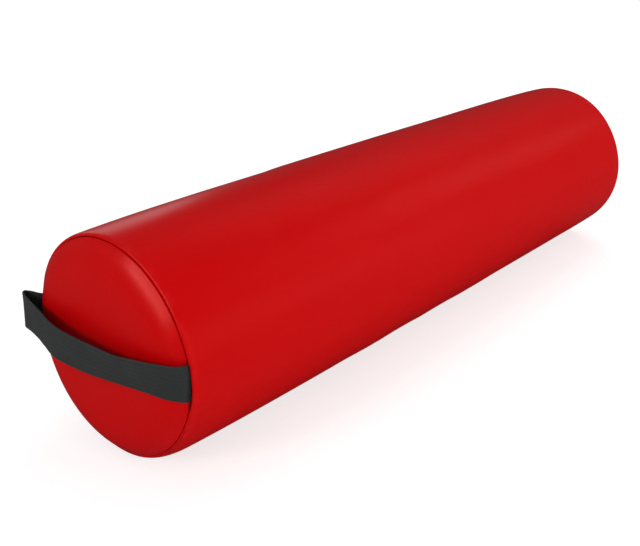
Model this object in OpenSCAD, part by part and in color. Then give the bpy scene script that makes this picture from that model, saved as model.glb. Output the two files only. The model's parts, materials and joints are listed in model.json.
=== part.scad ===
// Full-round treatment-table bolster: a foam core in a vinyl cover, with a webbing handle on one end
// and a nylon zip along the back.
//
// Frame: the origin is the middle of the flat that the underside settles to. +X runs along the
// bolster from the handle end to the far end, and +Z is up. The handle is sewn in at +Y and -Y.

/* [Bolster] */
// Diameter over the cover
bolster_d = 152.4; // [140:0.1:170]
// Length from one end seam to the other
seam_len = 588; // [500:1:800]
// Height that the stuffing crowns each end panel to
crown_h = 11; // [8:0.5:14]
// Half-width of the flat that the underside settles to
flat_half = 12; // [8:0.5:16]
// How much the radius draws in at each end seam
end_draw = 2.3; // [1.5:0.1:3]
// Length over which the radius draws in
draw_len = 80; // [60:1:80]

/* [Cover] */
// Thickness of the vinyl
vinyl_t = 1.2; // [0.8:0.1:1.4]
// Width of the seam allowance turned in at each end
hem_w = 10; // [8:0.5:12]
// Diameter of the sewing thread
thread_d = 0.6; // [0.4:0.1:0.6]

/* [Stuffing] */
// Radius of the foam core
core_r = 66; // [60:0.5:67]
// How far each end of the core stops short of its seam
core_short = 2; // [1:0.5:4]

/* [Handle] */
// Width of the webbing
strap_w = 25; // [20:1:30]
// Thickness of the webbing
strap_t = 1.4; // [1:0.1:1.5]
// How far the handle swings up, and down, in degrees
strap_swing = 20; // [10:1:20]
// Length of webbing held inside each seam
tail_len = 20; // [15:1:22]

/* [Zip] */
// Angle of the zip above the horizontal at the back, in degrees
zip_angle = 28; // [15:1:45]
// Length of the coils
chain_len = 410; // [200:2:412]
// Width of each tape
tape_w = 14; // [10:1:15]
// Thickness of each tape
tape_t = 0.6; // [0.4:0.1:0.6]
// Half-width of the opening between the two folded edges
slot_half = 5.2; // [5:0.1:6]
// Length of the slider
slider_len = 12; // [10:1:14]
// Length of the pull tab past the slider
pull_len = 25; // [18:1:32]

/* [Hidden] */

$fn = 96;

// Radii of the cover
wrap_r = bolster_d / 2;
axis_h = sqrt(pow(wrap_r, 2) - pow(flat_half, 2));
fold_t = 2 * vinyl_t + 0.1;
seam_r = wrap_r - end_draw - fold_t;
skirt_r = seam_r - 0.1;
seam_x = seam_len / 2;

// The crown of an end panel: nearly flat in the middle and round at the seam
CROWN_POWER = 8.3;
CROWN_SOFTNESS = 1.2;
CROWN_STEPS = 16;
crown_r = skirt_r + 0.9;

// Room between the layers
slack = 0.15;
wadding_slack = 0.5;

// The wadding wrap: its radius beside the seam allowance, and how it rises from there to the wrap
wadding_end_r = skirt_r - vinyl_t - 0.9;
wadding_knee_r = skirt_r - 0.5;
wadding_step_u = hem_w + 4;
wadding_knee_u = tail_len + 0.6;
wadding_full_u = tail_len + 6;

// The threads in the seams: how far in they lie, and the long seam's depths below the wrap
stitch_u = 4;
long_thread_top = 0.06;
long_thread_low = 0.4;
long_thread_turn = 0.5;

// The handle: where its loop starts, and the gap between the loop and the tails
tongue_gap = 0.4;
edge_clear = 0.65;
hinge_u = strap_w / 2 * tan(strap_swing) + tongue_gap + edge_clear;
strap_y = seam_r + strap_t / 2;
LOOP_STEPS = 10;

// The pocket of a strap tail in the seam allowance, and the two rows of tacking on the tail
pocket_slack = 0.2;
pocket_side = 0.5;
pocket_in = 3;
TACK_ROWS = [2.5, 8];
tack_half = strap_w / 2 - 2;

// The zip, from the inside out, as radii from the bolster's axis
recess_r = wrap_r - 4.9;
plate_low = wrap_r - 4.5;
plate_t = 0.9;
tape_r = wrap_r - 3.1;
coil_r = tape_r + tape_t + 0.05;
coil_h = 1.7;
coil_half = 3;
lane_half = 0.6;
hem_low = coil_r + 0.05;
zip_hem_w = 12;
lid_low = coil_r + coil_h + 0.3;
lid_t = 1;
slider_half = 4.3;
slider_wall = 0.9;
chain_top_x = chain_len / 2 + 1;
slider_x = chain_top_x - slider_len / 2 - 2;
slot_end_x = chain_len / 2 + 5;
hem_end_x = slot_end_x + 4;
tape_end_x = slot_end_x + 8;
stitch_in = 3;

// The cutters: the hollow in the wadding behind the zip, and how far a cut runs out past the cover
hollow_half = 19;
hollow_end_x = tape_end_x + 2;
cut_h = 10;
hem_lap = 0.5;

// The crown of the slider, and the bar of the pull tab that turns in it
arch_half = 4.5;
arch_h = 2.45;
eye_half = 1.6;
eye_h = 1.45;
arch_t = 1.6;
bar_r = 0.55;
bar_h = lid_low + lid_t + 0.7;

// Outer radius of the wrap at a distance u in from the seam
function wrap_at(u) = wrap_r - (u < draw_len ? end_draw * pow(1 - u / draw_len, 2) : 0);

// How far the end panel stands out of the seam plane at a radius r
function crown_at(r, rim) = crown_h * pow(1 - pow(min(r / rim, 1), CROWN_POWER), CROWN_SOFTNESS);

// Points [r, x] from one end of the bolster to the other, given the [r, u] points of one end
function both_ends(points) = concat(
  [for (p = points) [p[0], p[1] - seam_x]],
  [for (i = [len(points) - 1:-1:0]) [points[i][0], seam_x - points[i][1]]]
);

// Distances from the seam at which the draw of the wrap is sampled
function draw_steps(from) = [for (i = [0:6]) from + (draw_len - from) * i / 6];

// A cubic curve's point at t
function cubic(p, t) =
  pow(1 - t, 3) * p[0] + 3 * t * pow(1 - t, 2) * p[1] + 3 * pow(t, 2) * (1 - t) * p[2] + pow(t, 3) * p[3];

// Sideways unit vector of a path at point i
function side_of(path, i) =
  let (d = path[min(i + 1, len(path) - 1)] - path[max(i - 1, 0)])
  [-d[1], d[0]] / norm(d);

// Turns children drawn as [r, x] round the bolster's axis
module about_axis(from = 0, turn = 360) {
  translate([0, 0, axis_h]) rotate([0, 90, 0]) rotate_extrude(angle = turn, start = from) children();
}

// A band round the axis: r0 to r1, x0 to x1, centred at an angle above the horizontal at the back
module band(r0, r1, x0, x1, angle, y0, y1) {
  a0 = 90 + angle - y1 / r0 * 180 / PI;
  a1 = 90 + angle - y0 / r0 * 180 / PI;
  about_axis(a0, a1 - a0) translate([r0, x0]) square([r1 - r0, x1 - x0]);
}

// Keeps what lies above a height
module above(h) {
  intersection() {
    children();
    translate([-seam_x - 50, -wrap_r - 20, h]) cube([seam_len + 100, 2 * wrap_r + 40, 2 * wrap_r + 20]);
  }
}

// Turns a piece drawn at the strap end round to the far end
module far_end() {
  mirror([1, 0, 0]) children();
}

// Places children in the zip's own frame: x along the chain, y down the curve, z out from the axis
module at_zip(x = 0) {
  translate([x, 0, axis_h]) rotate([zip_angle - 90, 0, 0]) children();
}

// ---- Stuffing ----

module foam_core() {
  color("khaki")
    translate([-seam_x + core_short, 0, axis_h]) rotate([0, 90, 0])
      cylinder(r = core_r, h = seam_len - 2 * core_short);
}

module wadding_wrap() {
  end_u = core_short + slack;
  inner_r = core_r + slack;
  outer = concat(
    [[wadding_end_r, end_u], [wadding_end_r, wadding_step_u], [wadding_knee_r, wadding_knee_u]],
    [for (u = draw_steps(wadding_full_u)) [wrap_at(u) - vinyl_t - wadding_slack, u]]
  );
  color("whitesmoke") difference() {
    above(vinyl_t + wadding_slack) about_axis() polygon(concat(both_ends(outer), [
      [inner_r, seam_x - end_u], [inner_r, end_u - seam_x]
    ]));
    at_zip() translate([-hollow_end_x, -hollow_half, recess_r])
      cube([2 * hollow_end_x, 2 * hollow_half, cut_h]);
  }
}

// A disc of wadding that fills the crown of one end
module wadding_disc() {
  steps = [for (i = [0:CROWN_STEPS]) wadding_end_r * sin(90 * i / CROWN_STEPS)];
  about_axis() polygon(concat(
    [for (r = steps) [r, -seam_x - crown_at(r, crown_r) + vinyl_t + slack]],
    [[wadding_end_r, -seam_x + core_short - slack / 3], [0, -seam_x + core_short - slack / 3]]
  ));
}

module wadding_disc_strap_end() {
  color("whitesmoke") wadding_disc();
}

module wadding_disc_far_end() {
  color("whitesmoke") far_end() wadding_disc();
}

// ---- Cover ----

// The closed shape of the wrap, with a rolled fold at each end seam
module wrap_outside() {
  fold = [
    [0, 2], [seam_r, 2], [seam_r + 0.3, 0.6], [seam_r + 1, 0], [seam_r + 1.8, 0.4], [seam_r + 2.4, 1.4]
  ];
  above(0) about_axis() polygon(both_ends(concat(fold, [for (u = draw_steps(3)) [wrap_at(u), u]])));
}

// The room inside the wrap, with the seam allowances left in
module wrap_inside() {
  above(vinyl_t) about_axis() polygon(both_ends(concat(
    [[0, hem_w]], [for (u = draw_steps(hem_w)) [wrap_at(u) - vinyl_t, u]]
  )));
  translate([-seam_x - 1, 0, axis_h]) rotate([0, 90, 0]) cylinder(r = seam_r, h = seam_len + 2);
}

// The pocket that a strap tail leaves in the seam allowance; side is 1 at the back and -1 at the front
module tail_pocket(side) {
  translate([-seam_x - 1, side * (seam_r - 0.05), axis_h])
    mirror([0, side < 0 ? 1 : 0, 0])
      translate([0, -pocket_in, -strap_w / 2 - pocket_side])
        cube([hem_w + 2, pocket_in + strap_t + pocket_slack, strap_w + 2 * pocket_side]);
}

module wrap_panel() {
  color("crimson") difference() {
    union() {
      difference() {
        wrap_outside();
        wrap_inside();
      }
      for (side = [-1, 1])
        band(hem_low, wrap_r - vinyl_t, -hem_end_x, hem_end_x, zip_angle,
             side < 0 ? -slot_half - zip_hem_w : slot_half - hem_lap,
             side < 0 ? hem_lap - slot_half : slot_half + zip_hem_w);
    }
    at_zip() translate([-slot_end_x, -slot_half, recess_r]) cube([2 * slot_end_x, 2 * slot_half, cut_h]);
    for (side = [-1, 1]) tail_pocket(side);
  }
}

// A crowned end panel with its turned-in skirt
module end_panel() {
  skirt_in = skirt_r - vinyl_t;
  steps = [for (i = [0:CROWN_STEPS]) sin(90 * i / CROWN_STEPS)];
  outer = [for (s = steps) [s * skirt_r, -seam_x - crown_at(s * skirt_r, crown_r)]];
  inner = [for (s = steps) [s * skirt_in, -seam_x + vinyl_t - crown_at(s * skirt_in, crown_r)]];
  about_axis() polygon(concat(
    outer,
    [[skirt_r, -seam_x + hem_w], [skirt_in, -seam_x + hem_w]],
    [for (i = [CROWN_STEPS:-1:0]) inner[i]]
  ));
}

module strap_end_panel() {
  color("firebrick") end_panel();
}

module far_end_panel() {
  color("firebrick") far_end() end_panel();
}

// ---- Threads ----

// The lock stitch round one end seam, inside the skirt
module seam_thread() {
  about_axis() translate([skirt_r - vinyl_t - thread_d / 2, stitch_u - seam_x])
    circle(d = thread_d, $fn = 24);
}

module strap_end_seam_thread() {
  color("darkred") seam_thread();
}

module far_end_seam_thread() {
  color("darkred") far_end() seam_thread();
}

// The sewn rest of the lengthwise seam, between the zip and each end seam
module long_seam_thread() {
  run = [for (u = draw_steps(hem_w + 1)) if (u < seam_x - tape_end_x - 3) u];
  color("darkred") for (side = [0, 1]) mirror([side, 0, 0])
    about_axis(90 + zip_angle - long_thread_turn / 2, long_thread_turn) polygon(concat(
      [for (u = run) [wrap_at(u) - vinyl_t - long_thread_top, u - seam_x]],
      [for (i = [len(run) - 1:-1:0]) [wrap_at(run[i]) - vinyl_t - long_thread_low, run[i] - seam_x]]
    ));
}

// ---- Handle ----

// One end of the webbing, from inside the seam to its tongue at the hinge line
module strap_tail(side) {
  hinge_x = -seam_x - hinge_u;
  corner_x = hinge_x + tongue_gap + (strap_w / 2 + 1) * tan(strap_swing);
  color("dimgray") translate([0, 0, axis_h]) difference() {
    intersection() {
      rotate([0, 90, 0]) translate([0, 0, hinge_x]) difference() {
        cylinder(r = seam_r + strap_t, h = hinge_u + tail_len);
        translate([0, 0, -1]) cylinder(r = seam_r, h = hinge_u + tail_len + 2);
      }
      translate([hinge_x, side > 0 ? 0 : -2 * wrap_r, -strap_w / 2])
        cube([hinge_u + tail_len, 2 * wrap_r, strap_w]);
    }
    rotate([90, 0, 0]) linear_extrude(4 * wrap_r, center = true) polygon([
      [hinge_x + tongue_gap, 0], [corner_x, strap_w / 2 + 1], [hinge_x - 5, strap_w / 2 + 1],
      [hinge_x - 5, -strap_w / 2 - 1], [corner_x, -strap_w / 2 - 1]
    ]);
  }
}

module strap_tail_front() {
  strap_tail(-1);
}

module strap_tail_back() {
  strap_tail(1);
}

// The free loop of webbing that the hand goes through, as points [distance out of the seam plane, y]
module handle_strap() {
  curves = [
    [[hinge_u + 2.5, strap_y], [hinge_u + 10, strap_y], [hinge_u + 14, 70], [hinge_u + 15, 58]],
    [[hinge_u + 15, 58], [hinge_u + 17, 25], [hinge_u + 15.5, -25], [hinge_u + 13, -60]],
    [[hinge_u + 13, -60], [hinge_u + 12.5, -68], [hinge_u + 8.5, -strap_y], [hinge_u + 2.5, -strap_y]]
  ];
  path = concat(
    [[-hinge_u, strap_y]],
    [for (k = [0:2]) for (i = [(k == 0 ? 0 : 1):LOOP_STEPS])
      let (p = cubic(curves[k], i / LOOP_STEPS)) [-p[0], p[1]]],
    [[-hinge_u, -strap_y]]
  );
  rims = [for (w = [-strap_t / 2, strap_t / 2]) [for (i = [0:len(path) - 1]) path[i] + w * side_of(path, i)]];
  color("dimgray") translate([-seam_x, 0, axis_h - strap_w / 2]) linear_extrude(strap_w)
    polygon(concat(rims[0], [for (i = [len(path) - 1:-1:0]) rims[1][i]]));
}

// Two rows of tacking across each tail, on the inner face of the skirt
module strap_tack_threads() {
  tack_r = skirt_r - vinyl_t;
  color("black") for (side = [-1, 1]) for (u = TACK_ROWS)
    band(tack_r - thread_d / 2, tack_r - 0.02, u - seam_x - thread_d / 2, u - seam_x + thread_d / 2,
         side > 0 ? 0 : 180, -tack_half, tack_half);
}

// ---- Zip ----

// One tape; side is -1 above the chain and 1 below it
module zip_tape(side) {
  edge = lane_half + 0.6;
  color("black") band(tape_r, tape_r + tape_t, -tape_end_x, tape_end_x, zip_angle,
    side < 0 ? -edge - tape_w : edge, side < 0 ? -edge : edge + tape_w);
}

module zip_tape_upper() {
  zip_tape(-1);
}

module zip_tape_lower() {
  zip_tape(1);
}

// One coil, as the closed shape of all its turns
module zip_coil(side) {
  color("black") band(coil_r, coil_r + coil_h, -chain_len / 2 + 4.5, chain_top_x, zip_angle,
    side < 0 ? -coil_half : lane_half, side < 0 ? -lane_half : coil_half);
}

module zip_coil_upper() {
  zip_coil(-1);
}

module zip_coil_lower() {
  zip_coil(1);
}

// The row of stitches along one folded edge of the opening
module zip_stitch(side) {
  y = slot_half + stitch_in;
  color("darkred") band(wrap_r, wrap_r + 0.25, -hem_end_x, hem_end_x, zip_angle,
    side * y - thread_d / 2, side * y + thread_d / 2);
}

module zip_stitch_upper() {
  zip_stitch(-1);
}

module zip_stitch_lower() {
  zip_stitch(1);
}

// A clip on each coil, where the slider stops when the zip is shut
module zip_top_stops() {
  color("silver") for (side = [-1, 1])
    band(coil_r, coil_r + 2, chain_top_x + 0.05, chain_top_x + 2.5, zip_angle,
         side < 0 ? -coil_half - 0.3 : lane_half, side < 0 ? -lane_half : coil_half + 0.3);
}

// The staple that joins both coils where the zip opens to
module zip_bottom_stop() {
  color("silver") band(coil_r, coil_r + 2, -chain_len / 2, -chain_len / 2 + 4.4, zip_angle,
    -coil_half - 0.3, coil_half + 0.3);
}

// A plate of the slider, with its corners cut, narrower where the shut chain comes out
module slider_plate(z, t) {
  half = slider_len / 2;
  translate([0, 0, z]) linear_extrude(t) polygon([
    [-half, -slider_half + 0.6], [-half + 1, -slider_half],
    [half - 2, -slider_half], [half, -slider_half + 1.6],
    [half, slider_half - 1.6], [half - 2, slider_half],
    [-half + 1, slider_half], [-half, slider_half - 0.6]
  ]);
}

module zip_slider_body() {
  half = slider_len / 2;
  color("dimgray") at_zip(slider_x) {
    slider_plate(plate_low, plate_t);
    slider_plate(lid_low, lid_t);
    for (side = [-1, 1])
      translate([-half + 1, side < 0 ? -slider_half : slider_half - slider_wall, tape_r + tape_t + 0.35])
        cube([slider_len - 3, slider_wall, lid_low - tape_r - tape_t - 0.2]);
    translate([half - 4, -lane_half / 2, plate_low + plate_t - 0.1])
      cube([3, lane_half, lid_low - plate_low - plate_t + 0.2]);
  }
}

// The arch on the slider that the pull tab hangs in
module zip_slider_crown() {
  color("dimgray") at_zip(slider_x) translate([0, arch_t / 2, lid_low + lid_t]) rotate([90, 0, 0])
    linear_extrude(arch_t) difference() {
      polygon([
        [-arch_half, 0], [-arch_half + 0.6, arch_h - 0.9], [-arch_half + 1.8, arch_h],
        [arch_half - 1.8, arch_h], [arch_half - 0.6, arch_h - 0.9], [arch_half, 0]
      ]);
      translate([-eye_half, -1]) square([2 * eye_half, 1 + eye_h]);
    }
}

// The pull tab: a bar that turns in the arch, two arms and a flat tab with a thumb hole
module zip_pull_tab() {
  tab_half = 3.2;
  arm_t = 1.1;
  arm_in = arch_t / 2 + 0.4;
  tab_x = -arch_half - 0.8;
  color("dimgray") at_zip(slider_x) translate([0, 0, bar_h]) {
    rotate([90, 0, 0]) cylinder(r = bar_r, h = 2 * (arm_in + arm_t), center = true, $fn = 32);
    for (side = [-1, 1])
      translate([tab_x - 0.5, side < 0 ? -arm_in - arm_t : arm_in, -bar_r])
        cube([0.5 - tab_x, arm_t, 2 * bar_r]);
    translate([0, 0, -bar_r]) linear_extrude(2 * bar_r) difference() {
      polygon([
        [tab_x, -arm_in - arm_t], [tab_x - 3, -tab_half],
        [-pull_len + 1.5, -tab_half], [-pull_len, -tab_half + 1.5],
        [-pull_len, tab_half - 1.5], [-pull_len + 1.5, tab_half],
        [tab_x - 3, tab_half], [tab_x, arm_in + arm_t]
      ]);
      translate([-pull_len + 5, 0]) circle(r = 1.6, $fn = 32);
    }
  }
}

foam_core();
wadding_wrap();
wadding_disc_strap_end();
wadding_disc_far_end();
wrap_panel();
strap_end_panel();
far_end_panel();
strap_end_seam_thread();
far_end_seam_thread();
long_seam_thread();
handle_strap();
strap_tail_front();
strap_tail_back();
strap_tack_threads();
zip_tape_upper();
zip_tape_lower();
zip_coil_upper();
zip_coil_lower();
zip_stitch_upper();
zip_stitch_lower();
zip_top_stops();
zip_bottom_stop();
zip_slider_body();
zip_slider_crown();
zip_pull_tab();
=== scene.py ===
"""Looks of a full-round treatment bolster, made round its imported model.

The bolster lies along X on a pale studio floor, with its webbing handle at the -X end and its zip along
the back.  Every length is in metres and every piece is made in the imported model's own frame.
"""

import json
import logging
import math
from dataclasses import dataclass, field
from enum import Enum

import bmesh
import bpy
import numpy as np
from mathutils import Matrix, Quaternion, Vector

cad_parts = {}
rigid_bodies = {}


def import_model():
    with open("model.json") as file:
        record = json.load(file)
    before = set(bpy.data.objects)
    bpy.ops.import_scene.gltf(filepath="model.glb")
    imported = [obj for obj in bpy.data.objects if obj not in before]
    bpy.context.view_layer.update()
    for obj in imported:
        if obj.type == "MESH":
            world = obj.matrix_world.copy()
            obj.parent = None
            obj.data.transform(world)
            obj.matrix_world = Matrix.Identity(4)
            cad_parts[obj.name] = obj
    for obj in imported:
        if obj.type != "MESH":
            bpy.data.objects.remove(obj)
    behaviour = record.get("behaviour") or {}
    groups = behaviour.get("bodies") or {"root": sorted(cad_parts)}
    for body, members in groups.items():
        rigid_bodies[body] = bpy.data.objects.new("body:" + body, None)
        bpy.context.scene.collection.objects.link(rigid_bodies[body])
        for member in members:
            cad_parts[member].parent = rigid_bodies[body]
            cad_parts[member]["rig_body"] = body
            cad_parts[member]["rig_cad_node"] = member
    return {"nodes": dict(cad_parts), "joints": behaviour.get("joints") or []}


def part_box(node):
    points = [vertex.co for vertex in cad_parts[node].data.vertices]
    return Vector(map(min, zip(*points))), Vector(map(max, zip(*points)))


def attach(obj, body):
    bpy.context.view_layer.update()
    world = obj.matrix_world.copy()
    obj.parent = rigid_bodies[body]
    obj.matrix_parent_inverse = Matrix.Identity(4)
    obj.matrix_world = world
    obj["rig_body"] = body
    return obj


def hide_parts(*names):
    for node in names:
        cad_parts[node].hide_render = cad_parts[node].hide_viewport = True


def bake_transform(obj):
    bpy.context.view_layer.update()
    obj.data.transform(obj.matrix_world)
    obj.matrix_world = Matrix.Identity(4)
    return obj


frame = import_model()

LOG = logging.getLogger("bolster")
MM = 0.001
SEED = 11
Grid = np.ndarray
Piece = bpy.types.Object
Material = bpy.types.Material
Socket = bpy.types.NodeSocket


class Body(str, Enum):
    """The moving bodies of the bolster."""

    COVER = "cover"
    HANDLE = "handle"
    SLIDER = "zip_slider"
    PULL = "zip_pull"


class Opposite(Enum):
    """A choice between two opposite places, each with a sign as its value."""

    @property
    def label(self) -> str:
        """Its name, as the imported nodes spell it."""
        return self.name.lower()


class End(Opposite):
    """Which end of the bolster a piece is at, as the sign of its X."""

    STRAP = -1
    FAR = 1


class Side(Opposite):
    """Which side of the zip's chain a piece is on, as the sign of its way down the curve."""

    UPPER = -1
    LOWER = 1


# ---------- Sizes ----------


@dataclass(frozen=True)
class Sizes:
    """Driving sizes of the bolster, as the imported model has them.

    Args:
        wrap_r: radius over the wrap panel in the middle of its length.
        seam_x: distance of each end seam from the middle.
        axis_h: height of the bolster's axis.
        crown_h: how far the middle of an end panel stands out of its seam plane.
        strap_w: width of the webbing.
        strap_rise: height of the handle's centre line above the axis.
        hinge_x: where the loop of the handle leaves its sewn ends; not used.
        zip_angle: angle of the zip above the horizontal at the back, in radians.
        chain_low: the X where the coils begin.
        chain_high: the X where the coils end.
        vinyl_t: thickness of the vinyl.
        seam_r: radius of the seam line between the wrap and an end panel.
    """

    wrap_r: float
    seam_x: float
    axis_h: float
    crown_h: float
    strap_w: float
    strap_rise: float
    hinge_x: float
    zip_angle: float
    chain_low: float
    chain_high: float
    vinyl_t: float = 1.2 * MM
    seam_r: float = 71.35 * MM

    @classmethod
    def from_frame(cls) -> "Sizes":
        """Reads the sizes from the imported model.

        Returns:
            The sizes.
        """
        _, wrap_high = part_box("wrap_panel")
        end_low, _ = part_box("strap_end_panel")
        strap_low, strap_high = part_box("handle_strap")
        coil_low, coil_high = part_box("zip_coil_upper")
        joints = {joint["name"]: joint for joint in frame["joints"]}
        swing, pull = joints["handle_swing"], joints["pull_tab_swing"]
        axis_h = wrap_high.z - wrap_high.y
        return cls(
            wrap_r=wrap_high.y,
            seam_x=wrap_high.x,
            axis_h=axis_h,
            crown_h=-wrap_high.x - end_low.x,
            strap_w=strap_high.z - strap_low.z,
            strap_rise=(strap_high.z + strap_low.z) / 2 - axis_h,
            hinge_x=swing["pos_m"][0],
            zip_angle=math.atan2(pull["axis"][1], -pull["axis"][2]),
            chain_low=coil_low.x,
            chain_high=coil_high.x,
        )

    def on_axis(self, x: float) -> Vector:
        """The point of the bolster's axis at an X."""
        return Vector((x, 0.0, self.axis_h))

    def round_axis(self, x: Grid | float, r: Grid | float, angle: Grid) -> Grid:
        """Points round the bolster's axis.

        Args:
            x: places along the length.
            r: radii.
            angle: angles above the horizontal at the back.

        Returns:
            The points, with their coordinates in a last dimension of their own.
        """
        return np.stack(np.broadcast_arrays(x, r * np.cos(angle), self.axis_h + r * np.sin(angle)), axis=-1)


# ---------- Mesh helpers ----------


def smoothstep(value: Grid | float, low: float, high: float) -> Grid:
    """Rises smoothly from 0 at low to 1 at high.

    Args:
        value: what is compared with the limits.
        low: where the rise begins.
        high: where the rise ends.

    Returns:
        The share, from 0 to 1.
    """
    share = np.clip((np.asarray(value, float) - low) / (high - low), 0.0, 1.0)
    return share * share * (3.0 - 2.0 * share)


def full_turn(count: int) -> Grid:
    """Even angles all the way round."""
    return np.arange(count) / count * math.tau


def angle_from(angle: Grid, centre: float) -> Grid:
    """How far angles are from one angle, the shorter way round."""
    return np.abs((angle - centre + math.pi) % math.tau - math.pi)


def outward(angle: Grid | float) -> Grid:
    """The direction out of the bolster's side at angles above the horizontal at the back."""
    return np.stack([0.0 * angle, np.cos(angle), np.sin(angle)], axis=-1)


def soft_floor(height: Grid, softness: float = 0.5 * MM) -> Grid:
    """Lifts what would sink below the floor, with a soft edge to the flat that it leaves.

    Args:
        height: heights above the floor.
        softness: how wide the soft edge is.

    Returns:
        Heights that are never below 0.
    """
    lifted = (height + np.sqrt(height * height + softness * softness)) / 2.0
    return np.where(height > 12 * softness, height, lifted)


def catmull(points: Grid, steps: int) -> Grid:
    """Runs a smooth curve through points.

    Args:
        points: rows of coordinates that the curve passes through.
        steps: how many points the curve gets between each two.

    Returns:
        Rows of coordinates along the curve.
    """
    padded = np.vstack([2 * points[0] - points[1], points, 2 * points[-1] - points[-2]])
    rows = []
    for i in range(len(points) - 1):
        p0, p1, p2, p3 = padded[i : i + 4]
        slope, bend, twist = p2 - p0, 2 * p0 - 5 * p1 + 4 * p2 - p3, 3 * p1 - p0 - 3 * p2 + p3
        rows += [0.5 * (2 * p1 + slope * t + bend * t**2 + twist * t**3) for t in np.arange(steps) / steps]
    rows.append(points[-1])
    return np.array(rows)


def lengths(path: Grid) -> Grid:
    """How far along a path each of its points is."""
    gaps = np.linalg.norm(np.diff(path, axis=0), axis=1)
    return np.concatenate([[0.0], np.cumsum(gaps)])


def even_steps(path: Grid, count: int) -> Grid:
    """Spaces a path's points evenly by length.

    Args:
        path: rows of coordinates; the first three are the place.
        count: how many points the result has.

    Returns:
        The path, with count rows.
    """
    along = lengths(path[:, :3])
    wanted = np.linspace(0.0, along[-1], count)
    return np.stack([np.interp(wanted, along, path[:, k]) for k in range(path.shape[1])], axis=1)


def grid_normals(grid: Grid, closed: bool) -> Grid:
    """Unit normals of a grid of points.

    Args:
        grid: points, rows by columns by 3.
        closed: whether the last column meets the first.

    Returns:
        Unit vectors, along rows crossed with columns.
    """
    down = np.gradient(grid, axis=0)
    if closed:
        across = (np.roll(grid, -1, axis=1) - np.roll(grid, 1, axis=1)) / 2
    else:
        across = np.gradient(grid, axis=1)
    normal = np.cross(down, across)
    length = np.linalg.norm(normal, axis=2, keepdims=True)
    return normal / np.maximum(length, 1e-12)


def link_object(name: str, data: bpy.types.ID) -> Piece:
    """Makes an object of a mesh, a light or a camera and puts it in the scene, at the origin."""
    made = bpy.data.objects.new(name, data)
    bpy.context.scene.collection.objects.link(made)
    return made


def new_object(name: str, vertices: Grid, faces: list, smooth: bool = True) -> Piece:
    """Makes a mesh object at the origin.

    Args:
        name: the piece's name.
        vertices: its points.
        faces: the point numbers of each face.
        smooth: whether its faces are shaded smooth.

    Returns:
        The object, linked to the scene.
    """
    mesh = bpy.data.meshes.new(name)
    mesh.from_pydata([tuple(map(float, v)) for v in vertices], [], faces)
    mesh.validate()
    mesh.polygons.foreach_set("use_smooth", [smooth] * len(mesh.polygons))
    mesh.update()
    return link_object(name, mesh)


def grid_faces(rows: int, columns: int, closed: bool, first: int = 0, flip: bool = False) -> list:
    """Quads between the points of a grid.

    Args:
        rows: how many rows of points.
        columns: how many columns of points.
        closed: whether the last column meets the first.
        first: the number of the grid's first point.
        flip: whether the faces turn the other way.

    Returns:
        The point numbers of each face.
    """
    i, j = np.meshgrid(np.arange(rows - 1), np.arange(columns if closed else columns - 1), indexing="ij")
    k = (j + 1) % columns
    quads = [i * columns + j, (i + 1) * columns + j, (i + 1) * columns + k, i * columns + k]
    quads = first + np.stack(quads, axis=-1).reshape(-1, 4)
    return (quads[:, ::-1] if flip else quads).tolist()


def shell_from_grids(name: str, outer: Grid, inner: Grid, closed: bool) -> Piece:
    """A sheet with a thickness, closed along its edges.

    Args:
        name: the piece's name.
        outer: the points of its outer face, whose rows crossed with columns point outwards.
        inner: the points of its inner face.
        closed: whether its columns go all the way round.

    Returns:
        The object.
    """
    rows, columns = outer.shape[:2]
    count = rows * columns
    faces = grid_faces(rows, columns, closed)
    faces += grid_faces(rows, columns, closed, first=count, flip=True)
    for row, turn in ((0, False), (rows - 1, True)):
        for j in range(columns if closed else columns - 1):
            k = (j + 1) % columns
            a, b = row * columns + j, row * columns + k
            quad = (a, b, b + count, a + count)
            faces.append(quad[::-1] if turn else quad)
    if not closed:
        for column, turn in ((0, True), (columns - 1, False)):
            for i in range(rows - 1):
                a, b = i * columns + column, (i + 1) * columns + column
                quad = (a, b, b + count, a + count)
                faces.append(quad[::-1] if turn else quad)
    points = np.concatenate([outer.reshape(-1, 3), inner.reshape(-1, 3)])
    return new_object(name, points, faces)


def ring_solid(name: str, rings: Grid, start: Vector, end: Vector) -> Piece:
    """A solid whose cross-sections are closed rings, with a pole at each end.

    Args:
        name: the piece's name.
        rings: points, rings by points by 3.
        start: the pole before the first ring.
        end: the pole after the last ring.

    Returns:
        The object, with its faces outwards.
    """
    count, around = rings.shape[:2]
    points = list(rings.reshape(-1, 3))
    faces = grid_faces(count, around, closed=True)
    for pole, row in ((start, 0), (end, count - 1)):
        ring = [row * around + j for j in range(around)]
        tip = len(points)
        points.append(np.array(pole))
        faces += [(ring[j], ring[(j + 1) % around], tip) for j in range(around)]
    made = new_object(name, np.array(points), faces)
    face_outwards(made)
    return made


def face_outwards(made: Piece) -> None:
    """Turns the faces of a closed piece outwards."""
    work = bmesh.new()
    work.from_mesh(made.data)
    bmesh.ops.recalc_face_normals(work, faces=work.faces)
    work.to_mesh(made.data)
    work.free()


def set_attribute(made: Piece, name: str, values: Grid) -> None:
    """Stores one number for each point of a piece, for its material to read."""
    attribute = made.data.attributes.new(name, "FLOAT", "POINT")
    attribute.data.foreach_set("value", np.asarray(values, np.float32).ravel())


def set_uv(made: Piece, uv: Grid) -> None:
    """Stores a UV place for each point of a piece.

    Args:
        made: the piece.
        uv: one row of two numbers for each point.
    """
    loops = np.empty(len(made.data.loops), np.int32)
    made.data.loops.foreach_get("vertex_index", loops)
    layer = made.data.uv_layers.new(name="cloth")
    layer.data.foreach_set("uv", uv[loops].astype(np.float32).ravel())


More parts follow.
